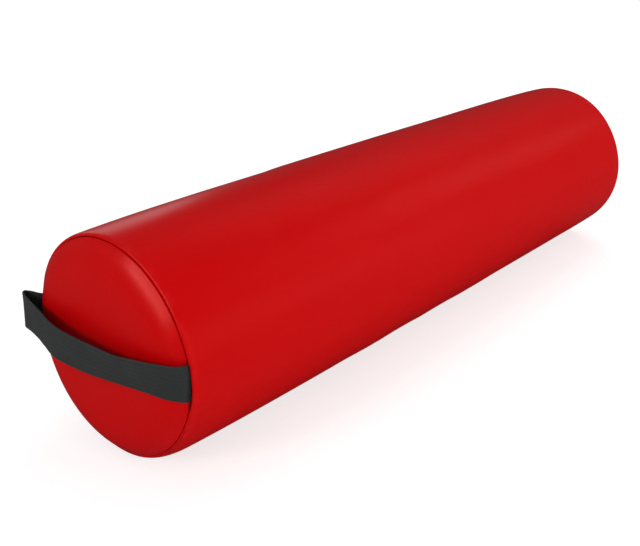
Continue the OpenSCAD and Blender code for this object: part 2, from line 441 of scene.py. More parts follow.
def finish_piece(made: Piece, finish: Material, body: Body, node: str) -> None:
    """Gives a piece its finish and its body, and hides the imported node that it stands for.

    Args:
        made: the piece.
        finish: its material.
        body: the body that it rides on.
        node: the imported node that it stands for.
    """
    made.data.materials.clear()
    made.data.materials.append(finish)
    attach(made, body.value)
    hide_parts(node)
    LOG.info("%s: %d faces on %s", made.name, len(made.data.polygons), body.value)


# ---------- Finishes ----------


class NodeTree:
    """A tree of nodes that is built in code."""

    def __init__(self, tree: bpy.types.NodeTree) -> None:
        """Starts from an empty tree."""
        self.tree = tree
        tree.nodes.clear()

    def add(self, kind: str, links: dict | None = None, **settings: object) -> bpy.types.Node:
        """Adds a node.

        Args:
            kind: the node's type.
            links: input name or number to a socket or a value.
            settings: properties of the node.

        Returns:
            The node.
        """
        node = self.tree.nodes.new(kind)
        for key, value in settings.items():
            setattr(node, key, value)
        for key, value in (links or {}).items():
            self.feed(node.inputs[key], value)
        return node

    def feed(self, socket: Socket, value: object) -> None:
        """Links a socket into an input, or sets the input's value, with full alpha for a colour."""
        if isinstance(value, Socket):
            self.tree.links.new(value, socket)
        else:
            socket.default_value = (*value, 1.0) if socket.type == "RGBA" else value

    def math(self, operation: str, a: object, b: object = 0.0) -> Socket:
        """One step of arithmetic.

        Args:
            operation: the name of the operation.
            a: the first socket or number.
            b: the second socket or number.

        Returns:
            The result's socket.
        """
        return self.add("ShaderNodeMath", {0: a, 1: b}, operation=operation).outputs[0]


class Shader(NodeTree):
    """A material under construction, with one surface shader."""

    def __init__(self, name: str) -> None:
        """Starts the material."""
        self.material = bpy.data.materials.new(name)
        self.material.use_nodes = True
        super().__init__(self.material.node_tree)
        self.surface = self.add("ShaderNodeBsdfPrincipled")
        self.output = self.add("ShaderNodeOutputMaterial", {"Surface": self.surface.outputs[0]})

    def scaled(self, value: object, low: float, high: float, at_low: float, at_high: float) -> Socket:
        """Maps one range of numbers on another, and holds it inside.

        Args:
            value: the socket that is mapped.
            low: the start of its range.
            high: the end of its range.
            at_low: what the start becomes.
            at_high: what the end becomes.

        Returns:
            The result's socket.
        """
        ranges = {0: value, 1: low, 2: high, 3: at_low, 4: at_high}
        return self.add("ShaderNodeMapRange", ranges, clamp=True).outputs[0]

    def mix(self, share: object, a: object, b: object) -> Socket:
        """Mixes two colours.

        Args:
            share: how much of the second colour.
            a: the first colour.
            b: the second colour.

        Returns:
            The mixed colour's socket.
        """
        return self.add("ShaderNodeMix", {0: share, 6: a, 7: b}, data_type="RGBA").outputs[2]

    def attribute(self, name: str) -> Socket:
        """Reads a number that is stored for each point of the piece."""
        return self.add("ShaderNodeAttribute", attribute_name=name).outputs["Fac"]

    def cloth_place(self) -> tuple:
        """The place on a woven piece, as how far along and how far across it is."""
        uv = self.add("ShaderNodeUVMap", uv_map="cloth").outputs[0]
        parts = self.add("ShaderNodeSeparateXYZ", {0: uv})
        return parts.outputs[0], parts.outputs[1]

    def place(self) -> Socket:
        """The place on the piece."""
        return self.add("ShaderNodeTexCoord").outputs["Object"]

    def noise(self, scale: float, detail: float = 2.0) -> Socket:
        """Soft random values.

        Args:
            scale: how many features to a metre.
            detail: how many finer layers it has.

        Returns:
            The value's socket.
        """
        links = {"Vector": self.place(), "Scale": scale, "Detail": detail}
        return self.add("ShaderNodeTexNoise", links).outputs[0]

    def bump(self, height: object, distance: float, strength: float, under: object = None) -> Socket:
        """Raises the surface by a height map.

        Args:
            height: the height's socket.
            distance: how far a height of 1 stands out, in metres.
            strength: how strongly it shows.
            under: the normal that it is laid on.

        Returns:
            The normal's socket.
        """
        links = {"Height": height, "Distance": distance, "Strength": strength}
        if under is not None:
            links["Normal"] = under
        return self.add("ShaderNodeBump", links).outputs[0]

    def set(self, **values: object) -> None:
        """Sets inputs of the surface shader, named with underscores for spaces."""
        for key, value in values.items():
            self.feed(self.surface.inputs[key.replace("_", " ")], value)


@dataclass(frozen=True)
class Finish:
    """What every finish of the bolster has.

    Args:
        name: the material's name.
    """

    name: str

    def draw(self, shader: Shader) -> None:
        """Draws the surface, as each kind of finish says."""
        raise NotImplementedError

    def material(self) -> Material:
        """Builds the material.

        Returns:
            The material.
        """
        shader = Shader(self.name)
        self.draw(shader)
        return shader.material


@dataclass(frozen=True)
class Vinyl(Finish):
    """Smooth coated vinyl: a very fine pebble grain, a satin skin and slight marks of handling.

    Args:
        tone: its main colour.
        deep: a darker tone that the colour drifts to at random, and the painted shade in the seams' turned-in
            creases and on the inner faces.
        worn: the colour that folds polish to.
        roughness: how satin it is.
    """

    name: str = "red_vinyl"
    tone: tuple = (0.565, 0.0010, 0.0018)
    deep: tuple = (0.46, 0.0006, 0.0011)
    worn: tuple = (0.64, 0.010, 0.012)
    roughness: float = 0.3

    def draw(self, shader: Shader) -> None:
        """Draws the surface."""
        clouds = shader.scaled(shader.noise(9.0, 3.0), 0.35, 0.65, 0.0, 1.0)
        base = shader.mix(shader.math("MULTIPLY", clouds, 0.14), self.tone, self.deep)
        handled = shader.scaled(shader.noise(160.0, 2.0), 0.4, 0.7, 0.15, 0.75)
        rubbed = shader.math("MULTIPLY", shader.attribute("fold"), handled)
        # painted shade: the vinyl is darkened towards deep in the seams' turned-in creases and on its inner
        # faces
        base = shader.mix(shader.attribute("crease"), base, self.deep)
        base = shader.mix(rubbed, base, self.worn)
        grain = shader.add("ShaderNodeTexVoronoi", {"Vector": shader.place(), "Scale": 1150.0}, feature="F1")
        pebbles = shader.math("MULTIPLY", grain.outputs["Distance"], -1.0)
        smudges = shader.scaled(shader.noise(34.0, 3.0), 0.15, 0.85, -0.03, 0.03)
        normal = shader.bump(pebbles, 0.05 * MM, 0.35)
        normal = shader.bump(shader.noise(420.0, 2.0), 0.04 * MM, 0.3, under=normal)
        shader.set(
            Base_Color=base,
            Roughness=shader.math("ADD", self.roughness, smudges),
            Normal=normal,
            Specular_IOR_Level=0.2,
            Specular_Tint=(1.0, 0.24, 0.22),
        )


@dataclass(frozen=True)
class Webbing(Finish):
    """Charcoal webbing: a herringbone of fine flat yarns, with painted shade where it dives into the seam.

    Args:
        tone: the colour of its yarns.
        high: the colour where a yarn catches the light.
        pitch: the width of one rib of the weave.
        yarn: the length of one stitch of the weave.
        seam_shade_tone: the painted shade where the band dives into the seam.
    """

    name: str = "charcoal_webbing"
    tone: tuple = (0.015, 0.016, 0.0165)
    high: tuple = (0.036, 0.039, 0.040)
    pitch: float = 1.7 * MM
    yarn: float = 0.85 * MM
    seam_shade_tone: tuple = (0.003, 0.003, 0.003)

    def draw(self, shader: Shader) -> None:
        """Draws the surface."""
        along, across = shader.cloth_place()
        slant = shader.math("ADD", along, shader.math("PINGPONG", across, self.pitch))
        picks = shader.math("SINE", shader.math("MULTIPLY", slant, math.tau / self.yarn))
        rows = shader.math("SINE", shader.math("MULTIPLY", across, math.tau / self.pitch))
        weave = shader.math("ADD", shader.math("MULTIPLY", picks, 0.6), shader.math("MULTIPLY", rows, 0.4))
        lit = shader.scaled(weave, -0.8, 0.9, 0.0, 0.85)
        base = shader.mix(lit, self.tone, self.high)
        fibres = shader.scaled(shader.noise(900.0, 3.0), 0.3, 0.75, 0.0, 0.4)
        base = shader.mix(fibres, base, self.high)
        # painted shade: the band darkens where it dives into the seam
        base = shader.mix(shader.math("MULTIPLY", shader.attribute("sewn"), 0.75), base, self.seam_shade_tone)
        patches = shader.scaled(shader.noise(55.0, 3.0), 0.35, 0.7, 0.0, 0.35)
        base = shader.mix(patches, base, self.high)
        normal = shader.bump(weave, 0.09 * MM, 0.7)
        normal = shader.bump(shader.noise(2600.0, 2.0), 0.03 * MM, 0.5, under=normal)
        shader.set(
            Base_Color=base,
            Roughness=shader.scaled(weave, -1.0, 1.0, 0.78, 0.62),
            Normal=normal,
            Specular_IOR_Level=0.2,
            Sheen_Weight=0.05,
            Sheen_Roughness=0.45,
        )


@dataclass(frozen=True)
class Yarn(Finish):
    """Spun or filament thread, with its twist.

    Args:
        tone: its colour.
        high: the colour of the strands that catch the light.
    """

    name: str
    tone: tuple
    high: tuple

    def draw(self, shader: Shader) -> None:
        """Draws the surface."""
        twist = shader.add("ShaderNodeTexWave", {"Vector": shader.place(), "Scale": 900.0, "Distortion": 1.5})
        strands = shader.math("ADD", twist.outputs[1], shader.math("MULTIPLY", shader.noise(2500.0), 0.4))
        base = shader.mix(shader.scaled(strands, 0.2, 1.2, 0.0, 1.0), self.tone, self.high)
        shader.set(
            Base_Color=base,
            Roughness=shader.scaled(strands, 0.0, 1.4, 0.7, 0.5),
            Normal=shader.bump(strands, 0.05 * MM, 0.7),
            Specular_IOR_Level=0.2,
            Sheen_Weight=0.02,
        )


@dataclass(frozen=True)
class Tape(Finish):
    """Woven polyester zip tape: a fine herringbone.

    Args:
        tone: the colour of its yarns.
        high: the colour where a yarn catches the light.
        pitch: the width of one rib of the weave.
        yarn: the length of one stitch of the weave.
    """

    name: str = "zip_tape_weave"
    tone: tuple = (0.016, 0.016, 0.018)
    high: tuple = (0.045, 0.046, 0.05)
    pitch: float = 1.2 * MM
    yarn: float = 0.5 * MM

    def draw(self, shader: Shader) -> None:
        """Draws the surface."""
        along, across = shader.cloth_place()
        slant = shader.math("ADD", along, shader.math("PINGPONG", across, self.pitch))
        weave = shader.math("SINE", shader.math("MULTIPLY", slant, math.tau / self.yarn))
        fuzz = shader.noise(1500.0, 2.0)
        base = shader.mix(shader.scaled(weave, -1.0, 1.6, 0.0, 1.0), self.tone, self.high)
        base = shader.mix(shader.math("MULTIPLY", fuzz, 0.3), base, self.high)
        shader.set(
            Base_Color=base,
            Roughness=shader.scaled(fuzz, 0.3, 0.7, 0.75, 0.9),
            Normal=shader.bump(weave, 0.05 * MM, 0.6),
            Sheen_Weight=0.15,
        )


@dataclass(frozen=True)
class Nylon(Finish):
    """Drawn nylon filament, nearly black and slightly glossy."""

    name: str = "zip_nylon"

    def draw(self, shader: Shader) -> None:
        """Draws the surface."""
        cloud = shader.noise(700.0, 2.0)
        base = shader.mix(cloud, (0.012, 0.012, 0.014), (0.03, 0.03, 0.034))
        shader.set(
            Base_Color=base,
            Roughness=shader.scaled(cloud, 0.3, 0.7, 0.26, 0.4),
            Normal=shader.bump(cloud, 0.01 * MM, 0.4),
        )


@dataclass(frozen=True)
class DarkMetal(Finish):
    """Die-cast zinc with a clear-lacquered dark nickel plate, rubbed lighter in patches."""

    name: str = "dark_nickel"

    def draw(self, shader: Shader) -> None:
        """Draws the surface."""
        cast = shader.noise(600.0, 4.0)
        worn = shader.scaled(shader.noise(120.0, 3.0), 0.45, 0.8, 0.0, 0.35)
        base = shader.mix(worn, (0.34, 0.34, 0.36), (0.55, 0.54, 0.53))
        shader.set(
            Base_Color=base,
            Metallic=0.6,
            Roughness=shader.scaled(cast, 0.3, 0.75, 0.24, 0.46),
            Normal=shader.bump(cast, 0.02 * MM, 0.35),
        )


@dataclass(frozen=True)
class Foam(Finish):
    """Open-cell upholstery foam."""

    name: str = "upholstery_foam"

    def draw(self, shader: Shader) -> None:
        """Draws the surface."""
        cells = shader.add("ShaderNodeTexVoronoi", {"Vector": shader.place(), "Scale": 900.0}).outputs[0]
        patches = shader.noise(18.0, 4.0)
        aged = shader.scaled(patches, 0.35, 0.65, 0.0, 1.0)
        base = shader.mix(aged, (0.80, 0.72, 0.47), (0.86, 0.80, 0.60))
        # painted shade: darker in the pits of the open cells, where the bump sinks the surface
        base = shader.mix(shader.scaled(cells, 0.0, 0.5, 0.35, 0.0), base, (0.45, 0.38, 0.2))
        shader.set(
            Base_Color=base,
            Roughness=shader.scaled(cells, 0.0, 0.6, 0.85, 0.95),
            Normal=shader.bump(cells, 0.4 * MM, 0.8),
            Subsurface_Weight=0.08,
        )


@dataclass(frozen=True)
class Wadding(Finish):
    """White polyester wadding: tangled fine fibre in soft tufts."""

    name: str = "polyester_wadding"

    def draw(self, shader: Shader) -> None:
        """Draws the surface."""
        tangle = {"Vector": shader.place(), "Scale": 260.0, "Distortion": 14.0, "Detail": 4.0}
        fibres = shader.add("ShaderNodeTexWave", tangle)
        tufts = shader.noise(70.0, 5.0)
        base = shader.mix(tufts, (0.74, 0.74, 0.72), (0.88, 0.88, 0.86))
        # painted shade: darker where the fibre tangle dips, in the low places of the bump
        base = shader.mix(shader.scaled(fibres.outputs[1], 0.0, 1.0, 0.2, 0.0), base, (0.6, 0.6, 0.58))
        shader.set(
            Base_Color=base,
            Roughness=shader.scaled(tufts, 0.3, 0.7, 0.85, 0.98),
            Normal=shader.bump(shader.math("ADD", fibres.outputs[1], tufts), 0.7 * MM, 0.7),
            Sheen_Weight=0.3,
        )


class Finishes:
    """Every finish of the bolster, built once."""

    def __init__(self) -> None:
        """Builds the materials."""
        self.vinyl = Vinyl().material()
        self.webbing = Webbing().material()
        self.cover_thread = Yarn("cover_thread", (0.36, 0.003, 0.006), (0.60, 0.02, 0.02)).material()
        self.tack_thread = Yarn("tack_thread", (0.02, 0.02, 0.022), (0.07, 0.07, 0.075)).material()
        self.tape = Tape().material()
        self.nylon = Nylon().material()
        self.metal = DarkMetal().material()
        self.foam = Foam().material()
        self.wadding = Wadding().material()


# ---------- Cover ----------


def around(angle: Grid, centre: float, width: float) -> Grid:
    """A smooth hump round the bolster.

    Args:
        angle: angles above the horizontal at the back, in radians.
        centre: where the hump is highest, in degrees.
        width: how far from there it has faded to a third, in degrees.

    Returns:
        The hump's height, from 0 to 1.
    """
    return np.exp(-((angle_from(angle, math.radians(centre)) / math.radians(width)) ** 2))


@dataclass(frozen=True)
class EndShape:
    """How one end of the cover is drawn in and rounded, and how evenly it is filled.

    Args:
        draw: how much the radius draws in towards the seam.
        roll: how much more the edge rolls over at the top of the end.
        roll_low: the same at the bottom, where the bolster's weight softens the edge.
        reach: how far from the seam the roll begins at the top.
        reach_low: the same at the bottom.
        proud: places round the seam where it stands out or in, as (degrees, width, distance).
        full: places round the edge where it is drawn in less or more, as (degrees, width, distance).
        sink: how much nearer the axis the seam is at the bottom.
    """

    draw: float
    roll: float
    roll_low: float
    reach: float
    reach_low: float
    proud: tuple
    full: tuple
    sink: float

    def low(self, angle: Grid) -> Grid:
        """How near the bottom an angle is, from 0 to 1."""
        return smoothstep(-np.sin(angle), 0.0, 0.55)

    def shift(self, angle: Grid) -> Grid:
        """How far the seam stands out along the length."""
        return sum((far * around(angle, at, width) for at, width, far in self.proud), 0.0 * angle)

    def drawn(self, u: Grid, angle: Grid, fade: float) -> Grid:
        """How much the face's radius is less than in the middle of the bolster.

        Args:
            u: distances in from the seam.
            angle: angles above the horizontal at the back.
            fade: the length over which the draw fades.

        Returns:
            The lessening of the radius.
        """
        extra = sum((far * around(angle, at, width) for at, width, far in self.full), 0.0 * angle)
        low = self.low(angle)
        reach = self.reach + (self.reach_low - self.reach) * low
        roll = self.roll + (self.roll_low - self.roll) * low
        share = np.clip(1.0 - u / reach, 0.0, 1.0)
        turned = roll * (1.0 - np.sqrt(1.0 - share * share))
        return (self.draw - extra) * np.exp(-u / fade) + turned


@dataclass
class Cover:
    """The three vinyl panels: one sheet that wraps the length, and a crowned disc at each end.

    Args:
        sizes: the driving sizes.
        draw_fade: the length over which the draw-in of an end fades.
        crown_power: how flat the middle of an end panel is.
        crown_softness: how softly its edge turns over.
        fold_r: radius of a folded edge, over the outer face.
        hem: width of the seam allowance turned in at an end.
        zip_hem: width of the allowance turned in along the zip.
        slot_half: half-width of the opening over the zip.
        seam_half: half-width of the closed seam past the zip.
        tail_room: how far the webbing in the seam lifts the wrap and sinks the end panel.
        barrel: how much fuller the bolster is in the middle of its length.
        edge_in: how much nearer the axis than the face the long edges are measured.
        groove: how deep the wrap sinks beside its long edges.
        unevenness: how far the stuffing slowly swells and sinks along the wrap.
        columns: how many columns of points go round.
        waves: the unevenness that the filling gives each panel.
    """

    sizes: Sizes
    draw_fade: float = 46.0 * MM
    crown_power: float = 8.3
    crown_softness: float = 1.2
    fold_r: float = 1.25 * MM
    hem: float = 10 * MM
    zip_hem: float = 10 * MM
    slot_half: float = 5.2 * MM
    seam_half: float = 0.03 * MM
    tail_room: float = 0.62 * MM
    barrel: float = 0.5 * MM
    edge_in: float = 1.5 * MM
    groove: float = 0.25 * MM
    unevenness: float = 0.10 * MM
    columns: int = 340
    waves: dict = field(default_factory=dict)
    ends: dict = field(init=False)

    def __post_init__(self) -> None:
        """Shapes the two ends."""
        strap = EndShape(
            draw=2.2 * MM,
            roll=0.9 * MM,
            roll_low=3.5 * MM,
            reach=4 * MM,
            reach_low=15 * MM,
            proud=((36.0, 24.0, 0.9 * MM),),
            full=(),
            sink=1.5 * MM,
        )
        far = EndShape(
            draw=1.5 * MM,
            roll=0.9 * MM,
            roll_low=1.1 * MM,
            reach=4 * MM,
            reach_low=5 * MM,
            proud=((222.0, 26.0, -0.4 * MM), (158.0, 36.0, -3.6 * MM)),
            full=((222.0, 30.0, 0.9 * MM), (150.0, 30.0, -0.5 * MM)),
            sink=0.0,
        )
        self.ends = {End.STRAP: strap, End.FAR: far}

    def face_radius(self, x: Grid, angle: Grid) -> Grid:
        """Radius of the wrap's outer face.

        Args:
            x: places along the length.
            angle: angles above the horizontal at the back.

        Returns:
            The radius, without the slow unevenness of the stuffing.
        """
        strap = self.ends[End.STRAP].drawn(np.maximum(self.sizes.seam_x + x, 0.0), angle, self.draw_fade)
        far = self.ends[End.FAR].drawn(np.maximum(self.sizes.seam_x - x, 0.0), angle, self.draw_fade)
        barrel = self.barrel * (1.0 - (x / self.sizes.seam_x) ** 2)
        return self.sizes.wrap_r + barrel - strap - far

    def lean(self, x: Grid, angle: Grid) -> Grid:
        """How far the cover is pushed along the length where its end seams stand out or in.

        Args:
            x: places along the length.
            angle: angles above the horizontal at the back.

        Returns:
            The push along X.
        """
        near = np.exp(-np.maximum(self.sizes.seam_x + x, 0.0) / self.draw_fade)
        far = np.exp(-np.maximum(self.sizes.seam_x - x, 0.0) / self.draw_fade)
        return self.ends[End.FAR].shift(angle) * far - self.ends[End.STRAP].shift(angle) * near

    def tail_zone(self, angle: Grid) -> Grid:
        """Where the webbing is sewn into the strap-end seam, as a share from 0 to 1."""
        half = self.sizes.strap_w / 2 / self.sizes.seam_r
        rise = math.asin(self.sizes.strap_rise / self.sizes.seam_r)
        total = 0.0 * angle
        for centre in (rise, math.pi - rise):
            total = total + 1.0 - smoothstep(angle_from(angle, centre), half * 0.98, half * 1.5)
        return total

    def crown(self, r: Grid) -> Grid:
        """How far an end panel stands out of its seam plane at a radius."""
        rim = self.sizes.seam_r + 0.85 * MM
        share = np.clip(r / rim, 0.0, 1.0)
        return self.sizes.crown_h * (1.0 - share**self.crown_power) ** self.crown_softness

    def push(self, end: End, share: Grid, angle: Grid) -> Grid:
        """How far an end is pushed out at a share of its radius, where its seam stands out or in."""
        return self.ends[end].shift(angle) * share**5

    def sunk(self, end: End, share: Grid, angle: Grid) -> Grid:
        """How much nearer the axis an end is at a share of its radius, where its seam is sunk."""
        return self.ends[end].sink * self.ends[end].low(angle) * share**3

    def zip_half(self, x: Grid) -> Grid:
        """Half-width of the gap between the two long edges at an X."""
        low, high = self.sizes.chain_low - 3 * MM, self.sizes.chain_high + 3 * MM
        away = np.maximum(low - x, x - high)
        return self.seam_half + (self.slot_half - self.seam_half) * (1.0 - smoothstep(away, -3 * MM, 5 * MM))

    def fold_profile(self, length: float) -> Grid:
        """The turned-in edge of a panel, as distance in from the fold and depth below the face.

        Args:
            length: how far the allowance runs back.

        Returns:
            Rows of (distance, depth), from the raw edge to the face.
        """
        back = np.linspace(length, self.fold_r, 5)[:-1]
        turn = np.linspace(-math.pi / 2, math.pi / 2, 9)
        rows = [(w, 2 * self.fold_r) for w in back]
        rows += [(self.fold_r * (1 - math.cos(a)), self.fold_r * (1 - math.sin(a))) for a in turn]
        return np.array(rows)

    def stations(self) -> Grid:
        """Places along the length for the rows of the wrap, as (x, depth) pairs.

        Returns:
            Rows of (x, depth), from the raw edge at the strap end to the raw edge at the far end.
        """
        fold = self.fold_profile(self.hem)
        near = np.array([2.0, 3.0, 4.5, 6.5, 9.0, 12.0, 16.0, 21.0, 27.0, 34.0, 42.0, 52.0, 63.0]) * MM
        middle = self.sizes.seam_x - near[-1]
        inner = np.linspace(-middle, middle, 49)[1:-1]
        ends = [self.sizes.chain_low - 3 * MM, self.sizes.chain_high + 3 * MM]
        steps = np.arange(-7, 8) * 1.2 * MM
        extra = np.concatenate([ends[0] + steps, ends[1] + steps])
        kept = [x for x in inner if all(abs(x - e) > 9 * MM for e in ends)]
        plain = np.sort(np.concatenate([near - self.sizes.seam_x, kept, extra, self.sizes.seam_x - near]))
        rows = [(u - self.sizes.seam_x, d) for u, d in fold]
        rows += [(x, 0.0) for x in plain]
        rows += [(self.sizes.seam_x - u, d) for u, d in fold[::-1]]
        return np.array(rows)

    def undulation(self, x: Grid, angle: Grid) -> Grid:
        """Slow unevenness of the stuffing under the wrap, in metres.

        Args:
            x: places along the length.
            angle: angles round the axis.

        Returns:
            How far the face stands out, on average nothing.
        """
        rng = np.random.default_rng(SEED)
        total = np.zeros(np.broadcast(x, angle).shape)
        for round_count, length in ((1, 0.31), (2, 0.19), (2, 0.44), (3, 0.13), (3, 0.26), (5, 0.09)):
            phase, drift = rng.uniform(0, math.tau, 2)
            along = np.cos(math.tau * x / length + drift)
            total = total + np.cos(round_count * angle + phase) * along / round_count
        return self.unevenness * total

    def wave(self, name: str, row_share: Grid, angle: Grid) -> Grid:
        """Reads the simulated fullness of a panel.

        Args:
            name: wrap, strap or far.
            row_share: places along the simulated rows, from 0 to 1.
            angle: angles round the axis.

        Returns:
            How far the face stands out there.
        """
        field_values = self.waves.get(name)
        if field_values is None:
            return np.zeros(np.broadcast(row_share, angle).shape)
        rows, around = field_values.shape
        i = np.clip(row_share, 0, 1) * (rows - 1)
        j = (angle % math.tau) / math.tau * around
        i0 = np.minimum(np.floor(i).astype(int), rows - 2)
        j0 = np.floor(j).astype(int) % around
        j1 = (j0 + 1) % around
        fi, fj = i - i0, j - np.floor(j)
        low = field_values[i0, j0] * (1 - fj) + field_values[i0, j1] * fj
        high = field_values[i0 + 1, j0] * (1 - fj) + field_values[i0 + 1, j1] * fj
        return low * (1 - fi) + high * fi

    def zip_edge(self, x: Grid) -> tuple:
        """The turned-in edge along the zip, which narrows away where it meets an end seam.

        Args:
            x: places along the length, as a column.

        Returns:
            Distance from the edge, depth below the face and the fold's own thickness limit.
        """
        u = np.maximum(self.sizes.seam_x - np.abs(x), 0.0)
        turn = np.linspace(-math.pi / 2, math.pi / 2, 9)[None, :]
        run = np.linspace(1.0, 0.0, 5)[None, :-1]
        radius = self.fold_r * (0.03 + 0.97 * smoothstep(u, 3 * MM, 9 * MM))
        length = (self.zip_hem - self.fold_r) * (0.001 + 0.999 * smoothstep(u, 9 * MM, 20 * MM))
        away = np.concatenate([radius + length * run, radius * (1.0 - np.cos(turn))], axis=1)
        depth = np.concatenate([2 * radius + 0.0 * run, radius * (1.0 - np.sin(turn))], axis=1)
        return away, depth, np.minimum(self.sizes.vinyl_t, 0.92 * radius) + 0.0 * away

    def turned_columns(self, x: Grid) -> tuple:
        """The columns of the wrap, from one long edge round to the other.

        Args:
            x: places along the length, as a column.

        Returns:
            Angles from the zip, depths below the face and thicknesses, rows by columns.
        """
        away, depth, limit = self.zip_edge(x)
        side = (self.zip_half(x) + away) / (self.sizes.wrap_r - self.edge_in)
        start = side[:, -1:]
        sweep = start + (math.tau - 2 * start) * np.linspace(0.0, 1.0, self.columns)[None, 1:-1]
        none = np.zeros_like(sweep)
        turn = np.concatenate([side, sweep, math.tau - side[:, ::-1]], axis=1)
        depths = np.concatenate([depth, none, depth[:, ::-1]], axis=1)
        return turn, depths, np.concatenate([limit, none + self.sizes.vinyl_t, limit[:, ::-1]], axis=1)

    def wrap_grid(self) -> tuple:
        """The outer face of the wrap as one sheet, with its turned-in edges.

        Returns:
            The grid of points, and the painted seam shade, the fold and the thickness at each.
        """
        rows = self.stations()
        x, row_depth = rows[:, 0][:, None], rows[:, 1][:, None]
        u = np.maximum(self.sizes.seam_x - np.abs(x), 0.0)
        turn, column_depth, thickness = self.turned_columns(x)
        angle = self.sizes.zip_angle + turn
        tail = self.tail_zone(angle) * (x < 0)
        face = self.face_radius(x, angle)
        full = (row_depth < 1e-9) * (column_depth < 1e-9)
        face = face + self.undulation(x, angle) * smoothstep(u, 0.0, 18 * MM) * full
        face = face + self.wave("wrap", (x + self.sizes.seam_x) / (2 * self.sizes.seam_x), angle) * full
        face = face + self.tail_room * tail * np.exp(-u / (14 * MM))
        beside = np.minimum(turn, math.tau - turn) * (self.sizes.wrap_r - self.edge_in) - self.zip_half(x)
        groove = np.exp(-((beside / (3.4 * MM)) ** 2)) * smoothstep(u, 2 * MM, 12 * MM) * full
        face = face - self.groove * groove
        sink = np.where(x < 0, self.ends[End.STRAP].sink, self.ends[End.FAR].sink)
        sunk = sink * self.ends[End.STRAP].low(angle)
        back = self.sizes.seam_r + 0.07 * MM + self.tail_room * tail - sunk
        turned = row_depth / (2 * self.fold_r)
        r = face + (back - face) * turned - column_depth
        place = x + self.lean(x, angle)
        grid = self.sizes.round_axis(place, r, angle)
        lift = (face - r) + 0.0 * r
        under = np.sin(angle) < -0.9
        grid[:, :, 2] = np.where(under, soft_floor(grid[:, :, 2] - lift) + lift, grid[:, :, 2])
        inside = row_depth + column_depth
        # painted shade: darker where the vinyl turns in under the end seams and beside the zip
        crease = smoothstep(inside, 1.2 * MM, 2.4 * MM)
        fold = np.exp(-(((u - 1.6 * MM) / (1.8 * MM)) ** 2)) * (inside < 1.2 * MM)
        return grid, crease, fold * 0.8, thickness

    def build_wrap(self, finishes: Finishes) -> None:
        """Makes the wrap panel."""
        grid, crease, fold, thickness = self.wrap_grid()
        normals = grid_normals(grid, closed=False)
        middle = grid[len(grid) // 2, self.columns // 2]
        outwards = middle - np.array(self.sizes.on_axis(middle[0]))
        if normals[len(grid) // 2, self.columns // 2] @ outwards < 0:
            grid, crease, fold, thickness = (values[:, ::-1] for values in (grid, crease, fold, thickness))
            normals = grid_normals(grid, closed=False)
        inner = grid - normals * thickness[:, :, None]
        wrap = shell_from_grids("wrap_panel_vinyl", grid, inner, closed=False)
        # painted shade: the inner face is fully darkened
        set_attribute(wrap, "crease", np.concatenate([crease.ravel(), np.ones(crease.size)]))
        set_attribute(wrap, "fold", np.concatenate([fold.ravel(), np.zeros(fold.size)]))
        face_outwards(wrap)
        finish_piece(wrap, finishes.vinyl, Body.COVER, "wrap_panel")

    def end_grid(self, end: End) -> tuple:
        """The outer face of an end panel, from its middle to the raw edge of its skirt.

        Args:
            end: which end it is at.

        Returns:
            The grid of points, the painted seam shade and the fold values of each.
        """
        r_crown = self.sizes.seam_r * np.sin(np.linspace(0.0, math.pi / 2, 35))[1:]
        out_crown = self.crown(r_crown)
        skirt = np.array([0.6, 1.6, 3.0, 6.0, 10.0]) * MM
        r = np.concatenate([r_crown, np.full(len(skirt), self.sizes.seam_r)])[:, None]
        out = np.concatenate([out_crown, -skirt])[:, None]
        angle = full_turn(self.columns)[None, :]
        share = r / self.sizes.seam_r
        swell = self.wave(end.label, share, angle) * (out > 0.9 * MM)
        swell = swell + 0.15 * MM * np.cos(2 * angle + 0.7) * share**2 * (1.0 - share**6)
        x = end.value * (self.sizes.seam_x + out + swell + self.push(end, share, angle))
        sunk = self.tail_room * smoothstep(share, 0.93, 1.0) * self.tail_zone(angle) * (end is End.STRAP)
        sunk = sunk + self.sunk(end, share, angle)
        grid = self.sizes.round_axis(x, r - sunk, angle)
        shape = grid.shape[:2]
        # painted shade: darker on the skirt that turns in under the seam
        crease = np.broadcast_to(1.0 - smoothstep(out, -1.2 * MM, 0.2 * MM), shape)
        fold = np.broadcast_to(np.exp(-(((out - 3.5 * MM) / (2.0 * MM)) ** 2)) * 0.3, shape)
        return grid, crease, fold

    def build_end(self, end: End, finishes: Finishes) -> None:
        """Makes one end panel.

        Args:
            end: which end it is at.
            finishes: the materials.
        """
        name = f"{end.label}_end_panel"
        grid, crease, fold = self.end_grid(end)
        normals = grid_normals(grid, closed=True)
        outwards = np.array([end.value, 0.0, 0.0])
        if normals[2, 0] @ outwards < 0:
            normals = -normals
        inner = grid - normals * self.sizes.vinyl_t
        tip = self.sizes.seam_x + self.sizes.crown_h
        start = self.sizes.on_axis(end.value * tip)
        finish = self.sizes.on_axis(end.value * (tip - self.sizes.vinyl_t))
        panel = ring_solid(name + "_vinyl", np.concatenate([grid, inner[::-1]]), start, finish)
        # painted shade: the inner face and the inner pole are fully darkened
        set_attribute(panel, "crease", np.concatenate([crease.ravel(), np.ones(crease.size), [0.0, 1.0]]))
        set_attribute(panel, "fold", np.concatenate([fold.ravel(), np.zeros(fold.size), [0.0, 0.0]]))
        finish_piece(panel, finishes.vinyl, Body.COVER, name)

    def build(self, finishes: Finishes) -> None:
        """Makes the three panels."""
        self.build_wrap(finishes)
        for end in End:
            self.build_end(end, finishes)


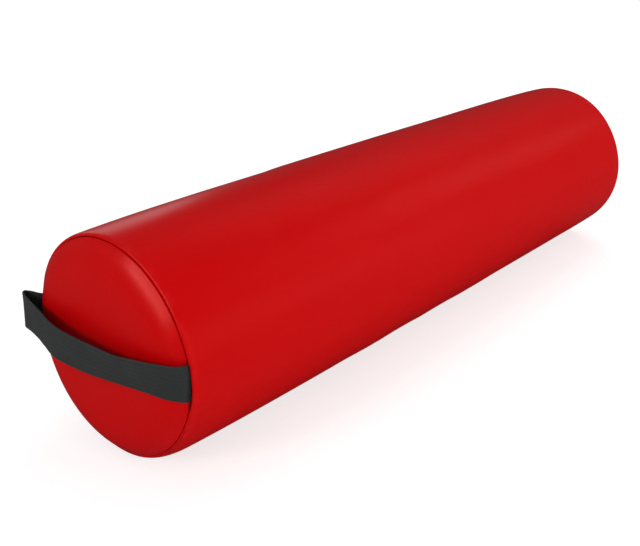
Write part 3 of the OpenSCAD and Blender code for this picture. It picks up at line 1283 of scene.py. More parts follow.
@dataclass
class StuffingPressure:
    """Fills the sewn cover by cloth simulation, to find how its faces swell unevenly.

    Args:
        cover: the cover that is filled.
        around: how many columns of points go round.
        rings: how many rings the wrap has.
        disc_rings: how many rings an end panel has.
        pressure: how hard the stuffing pushes.
        fullness: how much bigger the panels are cut than the stuffing, as a share.
        smaller: how much lower the ends' crowns are before they fill.
        last_frame: when the simulation has settled.
        most: the most that a face may stand out or in.
    """

    cover: Cover
    around: int = 72
    rings: int = 84
    disc_rings: int = 12
    pressure: float = 4.0
    fullness: float = 0.012
    smaller: float = 0.6 * MM
    last_frame: int = 20
    most: float = 0.22 * MM

    def profile(self) -> tuple:
        """The cover's outline from pole to pole, slightly smaller than it is filled.

        Returns:
            Rows of (x, radius), and the row numbers of the two seams.
        """
        sizes = self.cover.sizes
        r = sizes.seam_r * np.linspace(0.0, 1.0, self.disc_rings + 1)[1:]
        disc = [(-sizes.seam_x - self.cover.crown(v) + self.smaller, v) for v in r]
        u = np.linspace(3 * MM, 2 * sizes.seam_x - 3 * MM, self.rings)
        radius = self.cover.face_radius(u - sizes.seam_x, np.full(len(u), math.pi / 2))
        wrap = [(a - sizes.seam_x, b - 0.5 * MM) for a, b in zip(u, radius)]
        far = [(-x, v) for x, v in disc[::-1]]
        return np.array(disc + wrap + far), len(disc) - 1, len(disc) + len(wrap)

    def body(self) -> tuple:
        """Makes the closed cover that is filled.

        Returns:
            The object, its rings of points and the row numbers of the seams.
        """
        sizes = self.cover.sizes
        outline, first, last = self.profile()
        rng = np.random.default_rng(SEED)
        x, r = outline[:, 0][:, None], outline[:, 1][:, None]
        r = r + rng.normal(0.0, 0.08 * MM, (len(outline), self.around))
        rings = sizes.round_axis(x, r, full_turn(self.around))
        rings[:, :, 2] = soft_floor(rings[:, :, 2])
        tip = sizes.seam_x + sizes.crown_h - self.smaller
        trial = ring_solid("filling_trial", rings, sizes.on_axis(-tip), sizes.on_axis(tip))
        return trial, rings, first, last

    def settle(self) -> None:
        """Runs the simulation and gives the cover its unevenness."""
        trial, rings, first, last = self.body()
        held = trial.vertex_groups.new(name="seams")
        on_floor = np.flatnonzero(rings.reshape(-1, 3)[:, 2] < 0.6 * MM)
        for row in (first, last):
            held.add([row * self.around + j for j in range(self.around)], 1.0, "ADD")
        held.add([int(i) for i in on_floor], 1.0, "ADD")
        cloth = trial.modifiers.new("filling", "CLOTH")
        settings = cloth.settings
        stiffness = {"tension_stiffness": 18, "compression_stiffness": 18, "bending_stiffness": 1.2}
        for key, value in {"quality": 6, "mass": 0.05, "use_pressure": True, **stiffness}.items():
            setattr(settings, key, value)
        settings.uniform_pressure_force = self.pressure
        settings.vertex_group_mass = held.name
        settings.shrink_min = -self.fullness
        settings.effector_weights.gravity = 0.0
        cloth.collision_settings.use_collision = False
        scene = bpy.context.scene
        for number in range(1, self.last_frame + 1):
            scene.frame_set(number)
        evaluated = trial.evaluated_get(bpy.context.evaluated_depsgraph_get())
        filled = np.array([v.co for v in evaluated.data.vertices])[: rings.shape[0] * self.around]
        moved = filled.reshape(rings.shape) - rings
        bpy.data.objects.remove(trial, do_unlink=True)
        scene.frame_set(1)
        self.read(moved, rings, first, last)

    def read(self, moved: Grid, rings: Grid, first: int, last: int) -> None:
        """Turns the simulated movement into the unevenness of each panel.

        Args:
            moved: how far each point moved.
            rings: where each point was.
            first: the row of the strap-end seam.
            last: the row of the far-end seam.
        """
        centre = np.array([0.0, 0.0, self.cover.sizes.axis_h])
        radial = rings - centre
        radial[:, :, 0] = 0.0
        radial = radial / np.maximum(np.linalg.norm(radial, axis=2, keepdims=True), 1e-9)
        out = np.sum(moved * radial, axis=2)
        self.cover.waves["wrap"] = self.uneven(out[first : last + 1])
        self.cover.waves["strap"] = self.uneven(-moved[: first + 1, :, 0])
        self.cover.waves["far"] = self.uneven(moved[last:, :, 0][::-1])
        LOG.info("stuffing settled: uneven by up to %.2f mm", np.abs(self.cover.waves["wrap"]).max() / MM)

    def uneven(self, values: Grid) -> Grid:
        """What is left of a movement when its average round each ring is taken out, held to the limit."""
        rest = values - values.mean(axis=1, keepdims=True)
        for _ in range(5):
            rest = (np.roll(rest, 1, axis=1) + 2 * rest + np.roll(rest, -1, axis=1)) / 4
            rest[1:-1] = (rest[:-2] + 2 * rest[1:-1] + rest[2:]) / 4
        return self.most * np.tanh(rest / self.most)


# ---------- Stuffing ----------


@dataclass
class Stuffing:
    """The foam core and the wadding between it and the cover.

    Args:
        sizes: the driving sizes.
        around: how many points go round each ring.
        core_round: how far the core's edges are rounded.
        end_r: radius of the wadding where the end seams draw it in.
        zip_r: radius of the wadding under the zip.
    """

    sizes: Sizes
    around: int = 128
    core_round: float = 2.5 * MM
    end_r: float = 68.4 * MM
    zip_r: float = 71.2 * MM

    def ring(self, x: float, r: Grid | float, lowest: float) -> Grid:
        """One ring of points round the axis.

        Args:
            x: its place along the length.
            r: its radius, or one for each point.
            lowest: the height that it doesn't go below.

        Returns:
            The points.
        """
        points = self.sizes.round_axis(x, r, full_turn(self.around))
        points[:, 2] = np.maximum(points[:, 2], lowest)
        return points

    def rough(self, rows: int, most: float, seed: int) -> Grid:
        """Random shallow hollows for a soft surface.

        Args:
            rows: how many rings.
            most: the deepest hollow.
            seed: which random set.

        Returns:
            How much each radius shrinks.
        """
        rng = np.random.default_rng(SEED + seed)
        values = rng.random((rows, self.around))
        for _ in range(2):
            values = (values + np.roll(values, 1, axis=0) + np.roll(values, 1, axis=1)) / 3
        return most * values

    def build_core(self, finishes: Finishes) -> None:
        """Makes the foam core, with its cut ends slightly rounded."""
        low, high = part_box("foam_core")
        radius = high.y
        turn = np.linspace(0.0, math.pi / 2, 5)
        cut_in, cut_down = self.core_round * (1 - np.sin(turn)), self.core_round * (1 - np.cos(turn))
        edge = list(zip(cut_in, radius - cut_down))
        caps = [(0.0, radius * s) for s in (0.2, 0.45, 0.7, 0.88)]
        near = [(low.x + a, r) for a, r in caps] + [(low.x + a, r) for a, r in edge[::-1]]
        far = [(high.x - a, r) for a, r in edge] + [(high.x - a, r) for a, r in caps[::-1]]
        inner = np.linspace(low.x + 8 * MM, high.x - 8 * MM, 60)
        rows = near + [(x, radius) for x in inner] + far
        hollows = self.rough(len(rows), 0.5 * MM, 1)
        rings = np.array([self.ring(x, r - h, 0.0) for (x, r), h in zip(rows, hollows)])
        core = ring_solid("foam_core_block", rings, self.sizes.on_axis(low.x), self.sizes.on_axis(high.x))
        finish_piece(core, finishes.foam, Body.COVER, "foam_core")

    def build_wrap(self, finishes: Finishes) -> None:
        """Makes the wadding that is rolled round the core, with a hollow for the zip."""
        low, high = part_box("wadding_wrap")
        inner_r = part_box("foam_core")[1].y + 0.15 * MM
        x = np.linspace(low.x, high.x, 90)
        inward = np.minimum(x - low.x, high.x - x)
        reach = self.end_r + (high.y - self.end_r) * smoothstep(inward, 14 * MM, 70 * MM)
        zip_low, zip_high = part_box("zip_tape_upper")
        beside = 1.0 - smoothstep(angle_from(full_turn(self.around), self.sizes.zip_angle), 0.24, 0.30)
        along = smoothstep(x, zip_low.x - 8 * MM, zip_low.x - 2 * MM)
        along = along * (1 - smoothstep(x, zip_high.x + 2 * MM, zip_high.x + 8 * MM))
        hollow = np.minimum(beside[None, :], along[:, None])
        hollows = self.rough(len(x), 1.2 * MM, 2)
        outer = reach[:, None] * (1 - hollow) + np.minimum(reach[:, None], self.zip_r) * hollow - hollows
        outside = np.array([self.ring(a, r, low.z) for a, r in zip(x, outer)])
        inside = np.array([self.ring(a, inner_r, 0.0) for a in x])
        batt = shell_from_grids("wadding_batt", outside, inside, closed=True)
        face_outwards(batt)
        finish_piece(batt, finishes.wadding, Body.COVER, "wadding_wrap")

    def build_disc(self, end: End, cover: Cover, finishes: Finishes) -> None:
        """Makes the disc of wadding that fills one end's crown.

        Args:
            end: which end it is at.
            cover: the cover, whose crown the disc follows.
            finishes: the materials.
        """
        node = f"wadding_disc_{end.label}_end"
        low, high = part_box(node)
        back = high.x if end is End.STRAP else low.x
        radius = high.y
        steps = np.sin(np.linspace(0.06, math.pi / 2, 18)) * radius
        depth = self.sizes.vinyl_t + 0.35 * MM
        rows = [(end.value * (self.sizes.seam_x + cover.crown(r) - depth), r) for r in steps]
        rows += [(back, r) for r in (radius, radius * 0.8, radius * 0.45, radius * 0.15)]
        hollows = self.rough(len(rows), 0.6 * MM, 3 + end.value)
        angle = full_turn(self.around)
        share = np.array([r for _, r in rows])[:, None] / self.sizes.seam_r
        sunk = cover.sunk(end, share, angle)
        rings = np.array([self.ring(x, r - inwards, 0.0) for (x, r), inwards in zip(rows, sunk)])
        out = end.value * rings[:, :, 0] + cover.push(end, share, angle) - hollows
        out = np.maximum(out, end.value * back + 0.1 * MM)
        rings[: len(steps), :, 0] = end.value * out[: len(steps)]
        tip = end.value * (self.sizes.seam_x + self.sizes.crown_h - depth - 0.3 * MM)
        poles = (self.sizes.on_axis(tip), self.sizes.on_axis(back))
        disc = ring_solid(node.replace("_disc", "_pad"), rings, *poles)
        finish_piece(disc, finishes.wadding, Body.COVER, node)

    def build(self, cover: Cover, finishes: Finishes) -> None:
        """Makes the core and the wadding."""
        self.build_core(finishes)
        self.build_wrap(finishes)
        for end in End:
            self.build_disc(end, cover, finishes)


# ---------- Geometry Nodes ----------


class NodeRecipe(NodeTree):
    """A Geometry Nodes tree with named inputs, built in code."""

    def __init__(self, name: str, values: dict) -> None:
        """Starts a tree.

        Args:
            name: the tree's name.
            values: input name to value, a whole number for a count.
        """
        super().__init__(bpy.data.node_groups.new(name, "GeometryNodeTree"))
        sockets = self.tree.interface
        sockets.new_socket("Geometry", in_out="INPUT", socket_type="NodeSocketGeometry")
        self.values = {}
        for label, value in values.items():
            kind = "NodeSocketInt" if isinstance(value, int) else "NodeSocketFloat"
            socket = sockets.new_socket(label, in_out="INPUT", socket_type=kind)
            socket.default_value = value
            self.values[socket.identifier] = value
        sockets.new_socket("Geometry", in_out="OUTPUT", socket_type="NodeSocketGeometry")
        self.group = self.add("NodeGroupInput")

    def input(self, label: str) -> Socket:
        """The socket of a named input."""
        return self.group.outputs[label]

    def point(self, links: dict) -> Socket:
        """A place put together from coordinate number to a socket or a value."""
        return self.add("ShaderNodeCombineXYZ", links).outputs[0]

    def tube(self, curve: Socket, radius: Socket, caps: bool) -> Socket:
        """A thin tube along a curve.

        Args:
            curve: the curve's socket.
            radius: the tube's radius.
            caps: whether its ends are closed.

        Returns:
            The tube's socket.
        """
        ring = self.add("GeometryNodeCurvePrimitiveCircle", {"Resolution": 6, "Radius": radius})
        links = {"Curve": curve, "Profile Curve": ring.outputs["Curve"], "Fill Caps": caps}
        return self.add("GeometryNodeCurveToMesh", links).outputs[0]

    def close(
        self,
        points: Socket,
        shape: Socket,
        turn: Socket,
        finish: Material,
    ) -> None:
        """Ends the tree with one real shape at each point, in one finish.

        Args:
            points: the socket of the points.
            shape: the socket of the shape that is repeated.
            turn: how each is turned.
            finish: the material.
        """
        links = {"Points": points, "Instance": shape, "Rotation": turn}
        placed = self.add("GeometryNodeInstanceOnPoints", links)
        real = self.add("GeometryNodeRealizeInstances", {0: placed.outputs[0]})
        smooth = self.add("GeometryNodeSetShadeSmooth", {0: real.outputs[0]})
        painted = self.add("GeometryNodeSetMaterial", {"Geometry": smooth.outputs[0], "Material": finish})
        self.add("NodeGroupOutput", {0: painted.outputs[0]})

    def run(self, name: str, carrier: Piece) -> Piece:
        """Runs the tree on an object and keeps the result as a plain mesh.

        Args:
            name: the name of the piece that is made.
            carrier: the object that the tree starts from, which is removed.

        Returns:
            The piece.
        """
        modifier = carrier.modifiers.new("recipe", "NODES")
        modifier.node_group = self.tree
        for identifier, value in self.values.items():
            modifier[identifier] = value
        graph = bpy.context.evaluated_depsgraph_get()
        mesh = bpy.data.meshes.new_from_object(carrier.evaluated_get(graph))
        bpy.data.objects.remove(carrier, do_unlink=True)
        mesh.name = name
        return link_object(name, mesh)


@dataclass
class Stitching:
    """Lock stitches laid along a path.

    Args:
        thread: the thread's material.
        pitch: distance from one stitch to the next.
        length: length of thread that shows in each stitch.
        thickness: the thread's diameter.
        dip: how deep a stitch's ends go into the cloth.
    """

    thread: Material
    pitch: float = 4.0 * MM
    length: float = 3.5 * MM
    thickness: float = 0.55 * MM
    dip: float = 0.25 * MM

    def recipe(self) -> NodeRecipe:
        """Builds the tree: a short bent tube at each step along the path's edges.

        Returns:
            The tree.
        """
        values = {"Pitch": self.pitch, "Length": self.length, "Radius": self.thickness / 2, "Dip": self.dip}
        tree = NodeRecipe("stitch_row", values)
        curve = tree.add("GeometryNodeMeshToCurve", {0: tree.input("Geometry")})
        steps = {"Curve": curve.outputs[0], "Length": tree.input("Pitch")}
        count = tree.add("GeometryNodeResampleCurve", steps, mode="LENGTH")
        half = tree.math("MULTIPLY", tree.input("Length"), 0.5)
        back = tree.math("MULTIPLY", half, -1.0)
        down = tree.math("MULTIPLY", tree.input("Dip"), -1.0)
        places = {"Start": {0: back, 2: down}, "Middle": {2: tree.input("Dip")}, "End": {0: half, 2: down}}
        bends = {name: tree.point(links) for name, links in places.items()}
        bow = tree.add("GeometryNodeCurveQuadraticBezier", {"Resolution": 6, **bends})
        thread = tree.tube(bow.outputs[0], tree.input("Radius"), caps=True)
        normal = tree.add("GeometryNodeInputNamedAttribute", {"Name": "out"}, data_type="FLOAT_VECTOR")
        tangent = tree.add("GeometryNodeInputTangent")
        align = "FunctionNodeAlignRotationToVector"
        first = tree.add(align, {"Vector": tangent.outputs[0]}, axis="X")
        links = {"Rotation": first.outputs[0], "Vector": normal.outputs[0]}
        second = tree.add(align, links, axis="Z", pivot_axis="X")
        tree.close(count.outputs[0], thread, second.outputs[0], self.thread)
        return tree

    def sew(self, name: str, paths: list, outs: list, closed: bool = False) -> Piece:
        """Lays stitches along paths.

        Args:
            name: the piece's name.
            paths: a grid of points for each row of stitches.
            outs: for each path, the direction out of the cloth at each point.
            closed: whether each path ends where it begins.

        Returns:
            The stitches as one piece.
        """
        points, edges, first = [], [], 0
        for path in paths:
            count = len(path)
            points += [tuple(map(float, p)) for p in path]
            edges += [(first + i, first + i + 1) for i in range(count - 1)]
            if closed:
                edges.append((first + count - 1, first))
            first += count
        mesh = bpy.data.meshes.new(name + "_path")
        mesh.from_pydata(points, edges, [])
        out = mesh.attributes.new("out", "FLOAT_VECTOR", "POINT")
        out.data.foreach_set("vector", np.concatenate(outs).astype(np.float32).ravel())
        return self.recipe().run(name, link_object(name + "_path", mesh))


# ---------- Handle ----------


@dataclass
class Handle:
    """The webbing handle, as one band from inside one side of the seam to inside the other.

    The route's points are millimetres: how far out of the seam plane, across, and up from the axis, and
    how far the band's upper edge leans out, in degrees.

    Args:
        sizes: the driving sizes.
        thickness: thickness of the webbing.
        bead: width of the thicker selvedge along each edge.
        ribs: how many ribs run along the band.
        rib_h: height of each rib.
        gather: how much the seam gathers the band's width, as a share.
        wave_h: height of the slight waves in the loop.
        tack_r: radius of the tacks inside the seam.
        rows: how many rows of points go along the band.
    """

    sizes: Sizes
    thickness: float = 1.2 * MM
    bead: float = 1.6 * MM
    ribs: int = 13
    rib_h: float = 0.09 * MM
    gather: float = 0.08
    wave_h: float = 0.2 * MM
    tack_r: float = 69.75 * MM
    rows: int = 330
    route: tuple = (
        (-20.0, 71.4, 5.0, 0),
        (-12.0, 71.4, 5.0, 0),
        (-5.0, 71.4, 5.0, 0),
        (-1.2, 71.6, 5.1, 0),
        (1.6, 75.0, 5.2, 0),
        (4.2, 80.4, 5.4, -1),
        (7.0, 82.4, 5.6, -1),
        (10.5, 78.2, 6.0, -1),
        (12.7, 69.4, 6.1, 2),
        (15.6, 57.0, 6.1, 3),
        (18.4, 45.0, 5.7, 2),
        (21.4, 32.4, 4.6, 3),
        (21.8, 20.3, 3.4, 7),
        (20.3, 5.9, 2.2, 10),
        (18.4, -6.7, 1.7, 13),
        (17.0, -19.0, 1.9, 17),
        (16.4, -32.0, 2.8, 19),
        (15.0, -45.3, 4.1, 16),
        (12.0, -58.4, 4.4, 11),
        (7.4, -68.0, 4.0, 8),
        (3.2, -71.9, 3.6, 3),
        (0.4, -71.8, 3.4, 0),
        (-3.0, -71.4, 3.3, 0),
        (-10.0, -71.4, 3.3, 0),
        (-20.0, -71.4, 3.3, 0),
    )

    def centre_line(self) -> Grid:
        """The middle of the band, with its lean.

        Returns:
            Rows of (x, y, z, lean), evenly spaced.
        """
        points = np.array(self.route, float)
        placed = np.empty_like(points)
        placed[:, 0] = -self.sizes.seam_x - points[:, 0] * MM
        placed[:, 1] = points[:, 1] * MM
        placed[:, 2] = self.sizes.axis_h + points[:, 2] * MM
        placed[:, 3] = np.radians(points[:, 3])
        return even_steps(catmull(placed, 14), self.rows)

    def section(self) -> tuple:
        """The band's cross-section: places across it and its half-thickness there.

        Returns:
            Places across from edge to edge, and the half-thickness at each.
        """
        half = self.sizes.strap_w / 2
        across = half * np.cos(np.linspace(math.pi, 0.0, 61))
        share = np.abs(across) / half
        inset = half - np.abs(across)
        body = self.thickness / 2 * (1.0 - 0.16 * smoothstep(inset, 0.7 * self.bead, 1.1 * self.bead))
        rib = self.rib_h / 2 * np.cos(share * self.ribs * math.pi)
        rib = rib * smoothstep(inset, self.bead, 1.4 * self.bead)
        end = np.sqrt(np.clip(1 - (1 - np.clip(inset / (0.6 * MM), 0, 1)) ** 2, 0, 1))
        return across, np.maximum((body + rib) * end, 0.02 * MM)

    def directions(self, place: Grid, lean: Grid) -> tuple:
        """Which way the band is wide and which way it is thick.

        Args:
            place: the middle of the band at each row.
            lean: how far its upper edge leans out at each row, in radians.

        Returns:
            Unit vectors across the band's width and through its thickness.
        """
        along = np.gradient(place, axis=0)
        along /= np.linalg.norm(along, axis=1, keepdims=True)
        side = np.cross(along, np.tile([0.0, 0.0, 1.0], (len(place), 1)))
        side /= np.linalg.norm(side, axis=1, keepdims=True)
        inside = np.array([-0.2, 0.0, self.sizes.axis_h])
        out = np.where(np.sum(side * (place - inside), axis=1)[:, None] < 0, -1, 1) * side
        wide = np.cross(side, along) * np.cos(lean)[:, None] + out * np.sin(lean)[:, None]
        return wide, np.cross(along, wide)

    def flutter(self, length: Grid, across: Grid) -> Grid:
        """Slight waves in the webbing between its sewn ends.

        Args:
            length: how far along the band each row is.
            across: places across the band.

        Returns:
            How far each point stands out.
        """
        drift = np.random.default_rng(SEED + 5).uniform(0, math.tau, 3)
        long_wave = np.sin(length[:, None] / 0.021 + across[None, :] * 160 + drift[0])
        short_wave = 0.6 * np.sin(length[:, None] / 0.0093 - across[None, :] * 230 + drift[1])
        held = smoothstep(length, 0.02, 0.04)[:, None] * smoothstep(length[-1] - length, 0.02, 0.04)[:, None]
        return self.wave_h * (long_wave + short_wave) * held

    def build(self, finishes: Finishes) -> None:
        """Makes the band, in place of the imported strap and its tails."""
        line = self.centre_line()
        place = line[:, :3]
        wide, thick = self.directions(place, line[:, 3])
        across, half = self.section()
        outside = -self.sizes.seam_x - place[:, 0]
        drawn = 1.0 - self.gather * (1.0 - smoothstep(outside, 0.0, 12 * MM))
        middle = place[:, None, :] + wide[:, None, :] * across[None, :, None] * drawn[:, None, None]
        middle = self.bent_to_seam(middle, place)
        length = lengths(place)
        middle = middle + thick[:, None, :] * self.flutter(length, across)[:, :, None]
        depth = thick[:, None, :] * half[None, :, None]
        band = shell_from_grids("handle_webbing", middle + depth, middle - depth, closed=False)
        face_outwards(band)
        u, v = np.meshgrid(length, across + self.sizes.strap_w / 2, indexing="ij")
        uv = np.stack([u.ravel(), v.ravel()], axis=1)
        set_uv(band, np.concatenate([uv, uv + 0.4 * MM]))
        # painted shade: the share by which the webbing's finish darkens in the last millimetres before the
        # seam
        sewn = 1.0 - smoothstep(outside, 0.6 * MM, 3.6 * MM)
        set_attribute(band, "sewn", np.tile(np.repeat(sewn, len(across)), 2))
        band.data.materials.append(finishes.webbing)
        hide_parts("handle_strap", "strap_tail_front", "strap_tail_back")
        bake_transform(band)
        LOG.info("handle_webbing: %.0f mm of webbing", length[-1] / MM)

    def bent_to_seam(self, middle: Grid, place: Grid) -> Grid:
        """Curves the band round the seam where it is sewn in, and lets it straighten outside.

        Args:
            middle: the points half-way through the band, rows along by columns across.
            place: the middle of the band at each row.

        Returns:
            The curved points.
        """
        outside = -self.sizes.seam_x - place[:, 0]
        sewn = (1.0 - smoothstep(outside, 0.5 * MM, 13 * MM))[:, None]
        height = middle[:, :, 2] - self.sizes.axis_h
        radius = np.abs(place[:, 1])[:, None]
        level = place[:, 2][:, None] - self.sizes.axis_h
        sag = np.sqrt(np.maximum(radius**2 + level**2 - height**2, 0.0)) - radius
        curved = middle.copy()
        curved[:, :, 1] += np.sign(place[:, 1])[:, None] * sag * sewn
        return curved

    def build_tacks(self, finishes: Finishes) -> None:
        """Makes the box of stitches, crossed from corner to corner, that holds each end inside the seam."""
        thread = Stitching(finishes.tack_thread, 2.2 * MM, 2.0 * MM, 0.45 * MM, 0.15 * MM)
        rise = math.asin(self.sizes.strap_rise / self.sizes.wrap_r)
        wide, low, high = self.sizes.strap_w / 2 - 2 * MM, 2.0 * MM, 8.5 * MM
        corners = [(low, -wide), (high, -wide), (high, wide), (low, wide), (low, -wide), (high, wide)]
        corners = np.array(corners + [(low, wide), (high, -wide)])
        sides = zip(corners[:-1], corners[1:])
        steps = np.array([a + (b - a) * t for a, b in sides for t in np.linspace(0, 1, 12)])
        paths, outs = [], []
        for centre in (rise, math.pi - rise):
            angle = centre + steps[:, 1] / self.tack_r
            path = self.sizes.round_axis(steps[:, 0] - self.sizes.seam_x, self.tack_r, angle)
            keep = np.concatenate([[True], np.linalg.norm(np.diff(path, axis=0), axis=1) > 1e-5])
            paths.append(path[keep])
            outs.append(-outward(angle)[keep])
        tacks = thread.sew("strap_tack_stitches", paths, outs)
        finish_piece(tacks, finishes.tack_thread, Body.COVER, "strap_tack_threads")


# ---------- Seams ----------


@dataclass
class Seams:
    """The stitches of the two end seams and of the lengthwise seam, inside the cover.

    Args:
        sizes: the driving sizes.
        inset: how far in from the seam plane an end seam's stitches lie.
        radius: radius of an end seam's stitches, on the inner face of the skirt.
    """

    sizes: Sizes
    inset: float = 4 * MM
    radius: float = 69.95 * MM

    def build_end(self, end: End, finishes: Finishes) -> None:
        """Sews one end seam.

        Args:
            end: which end it is at.
            finishes: the materials.
        """
        name = f"{end.label}_end_seam"
        angle = full_turn(240)
        path = self.sizes.round_axis(end.value * (self.sizes.seam_x - self.inset), self.radius, angle)
        row = Stitching(finishes.cover_thread).sew(name + "_stitches", [path], [-outward(angle)], closed=True)
        finish_piece(row, finishes.cover_thread, Body.COVER, name + "_thread")

    def build_long(self, cover: Cover, finishes: Finishes) -> None:
        """Sews the lengthwise seam between the zip and each end seam.

        Args:
            cover: the cover, whose inner face the stitches lie on.
            finishes: the materials.
        """
        low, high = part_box("long_seam_thread")
        zip_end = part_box("zip_tape_upper")[1].x
        paths, outs = [], []
        for first, last in ((low.x, -zip_end), (zip_end, high.x)):
            x = np.linspace(first, last, 40)
            angle = np.full(len(x), self.sizes.zip_angle)
            radius = cover.face_radius(x, angle) - 2 * cover.fold_r - 0.15 * MM
            paths.append(self.sizes.round_axis(x, radius, angle))
            outs.append(-outward(angle))
        row = Stitching(finishes.cover_thread).sew("long_seam_stitches", paths, outs)
        finish_piece(row, finishes.cover_thread, Body.COVER, "long_seam_thread")

    def build(self, cover: Cover, finishes: Finishes) -> None:
        """Sews every seam."""
        for end in End:
            self.build_end(end, finishes)
        self.build_long(cover, finishes)


# ---------- Zip ----------


@dataclass
class Zip:
    """The nylon zip in the lengthwise seam.

    Args:
        sizes: the driving sizes.
        tape_r: radius of the tapes' inner face.
        tape_t: thickness of a tape.
        tape_w: width of a tape.
        lane: half-width of the lane between the two tapes.
        coil_w: width of one coil.
        coil_h: height of a coil.
        filament: diameter of the coil's filament.
        pitch: distance from one turn of the coil to the next.
        skew: how far each turn of the coil leans, in radians.
        stitch_in: how far the stitching lies from the folded edges.
    """

    sizes: Sizes
    tape_r: float = 73.1 * MM
    tape_t: float = 0.6 * MM
    tape_w: float = 14 * MM
    lane: float = 0.9 * MM
    coil_w: float = 3.35 * MM
    coil_h: float = 1.9 * MM
    filament: float = 0.62 * MM
    pitch: float = 1.45 * MM
    skew: float = 0.16
    stitch_in: float = 3 * MM

    def place(self, x: Grid, across: Grid, r: Grid) -> Grid:
        """Points beside the zip's middle line.

        Args:
            x: places along the chain.
            across: distances down the curve from the middle line.
            r: radii.

        Returns:
            The points.
        """
        return self.sizes.round_axis(x, r, self.sizes.zip_angle - across / r)

    def straight(self, made: Piece, across: float, height: float) -> None:
        """Takes a piece from the zip's own straight axes to its place in the bolster.

        Args:
            made: the piece, drawn with x along, y down the curve and z out.
            across: how far down the curve its y begins.
            height: the radius that its z begins at.
        """
        co = np.array([v.co for v in made.data.vertices])
        out, down = outward(self.sizes.zip_angle), outward(self.sizes.zip_angle - math.pi / 2)
        moved = np.outer(co[:, 1] + across, down) + np.outer(co[:, 2] + height, out)
        moved[:, 0] = co[:, 0]
        moved[:, 2] += self.sizes.axis_h
        made.data.vertices.foreach_set("co", moved.astype(np.float32).ravel())
        made.data.update()

    def build_tape(self, side: Side, finishes: Finishes) -> None:
        """Makes one tape, with its bead of thicker weave along the outer edge.

        Args:
            side: which side of the chain it is on.
            finishes: the materials.
        """
        node = f"zip_tape_{side.label}"
        low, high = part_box(node)
        x = np.linspace(low.x, high.x, 150)[:, None]
        w = np.array([0.0, 0.4, 1.0, 2.2, 4.0, 6.0, 8.0, 10.0, 11.6, 12.6, 13.2, 13.7, 14.0])[None, :] * MM
        edge = np.minimum(w, self.tape_w - w)
        half = self.tape_t / 2 * (0.78 + 0.22 * np.exp(-((w - 13.2 * MM) / (0.7 * MM)) ** 2))
        half = half * np.sqrt(np.clip(edge / (0.25 * MM), 0.08, 1.0))
        across = side.value * (self.lane + w)
        middle = self.tape_r + self.tape_t / 2
        outer = self.place(x, across, middle + half)
        inner = self.place(x, across, middle - half)
        tape = shell_from_grids(node + "_weave", outer, inner, closed=False)
        face_outwards(tape)
        u, v = np.broadcast_arrays(x, w)
        uv = np.stack([u.ravel(), v.ravel()], axis=1)
        set_uv(tape, np.concatenate([uv, uv]))
        finish_piece(tape, finishes.tape, Body.COVER, node)

    def coil_recipe(self, side: Side, finish: Material) -> NodeRecipe:
        """Builds the coil's tree: one rounded turn of filament, repeated along the chain.

        Args:
            side: which side of the chain the coil is on.
            finish: the filament's material.

        Returns:
            The tree.
        """
        tree = NodeRecipe(
            "zip_coil",
            {
                "Turns": int((self.sizes.chain_high - self.sizes.chain_low) / self.pitch),
                "Pitch": self.pitch,
                "Start": self.sizes.chain_low + self.pitch * (0.4 if side is Side.UPPER else 0.9),
                "Width": self.coil_w - self.filament,
                "Height": self.coil_h - self.filament,
                "Filament": self.filament / 2,
                "Skew": self.skew * side.value,
            },
        )
        sides = {"Width": tree.input("Width"), "Height": tree.input("Height")}
        flat = tree.add("GeometryNodeCurvePrimitiveQuadrilateral", sides)
        radius = tree.math("MULTIPLY", tree.input("Height"), 0.49)
        corner = {"Curve": flat.outputs[0], "Count": 3, "Radius": radius}
        rounded = tree.add("GeometryNodeFilletCurve", corner, mode="POLY")
        turn = tree.tube(rounded.outputs[0], tree.input("Filament"), caps=False)
        start, step = tree.point({0: tree.input("Start")}), tree.point({0: tree.input("Pitch")})
        steps = {"Count": tree.input("Turns"), "Start Location": start, "Offset": step}
        line = tree.add("GeometryNodeMeshLine", steps)
        skewed = tree.math("ADD", tree.input("Skew"), math.pi / 2)
        upright = tree.add("FunctionNodeEulerToRotation", {0: tree.point({0: math.pi / 2, 2: skewed})})
        tree.close(line.outputs[0], turn, upright.outputs[0], finish)
        return tree

    def build_coil(self, side: Side, finishes: Finishes) -> None:
        """Makes one coil, whose turns fall between those of the other.

        Args:
            side: which side of the chain it is on.
            finishes: the materials.
        """
        node = f"zip_coil_{side.label}"
        carrier = new_object(node + "_carrier", np.eye(3) * MM, [(0, 1, 2)])
        coil = self.coil_recipe(side, finishes.nylon).run(node + "_turns", carrier)
        across = side.value * (self.coil_w / 2 - 0.35 * MM)
        self.straight(coil, across, self.tape_r + self.tape_t + self.coil_h / 2)
        finish_piece(coil, finishes.nylon, Body.COVER, node)

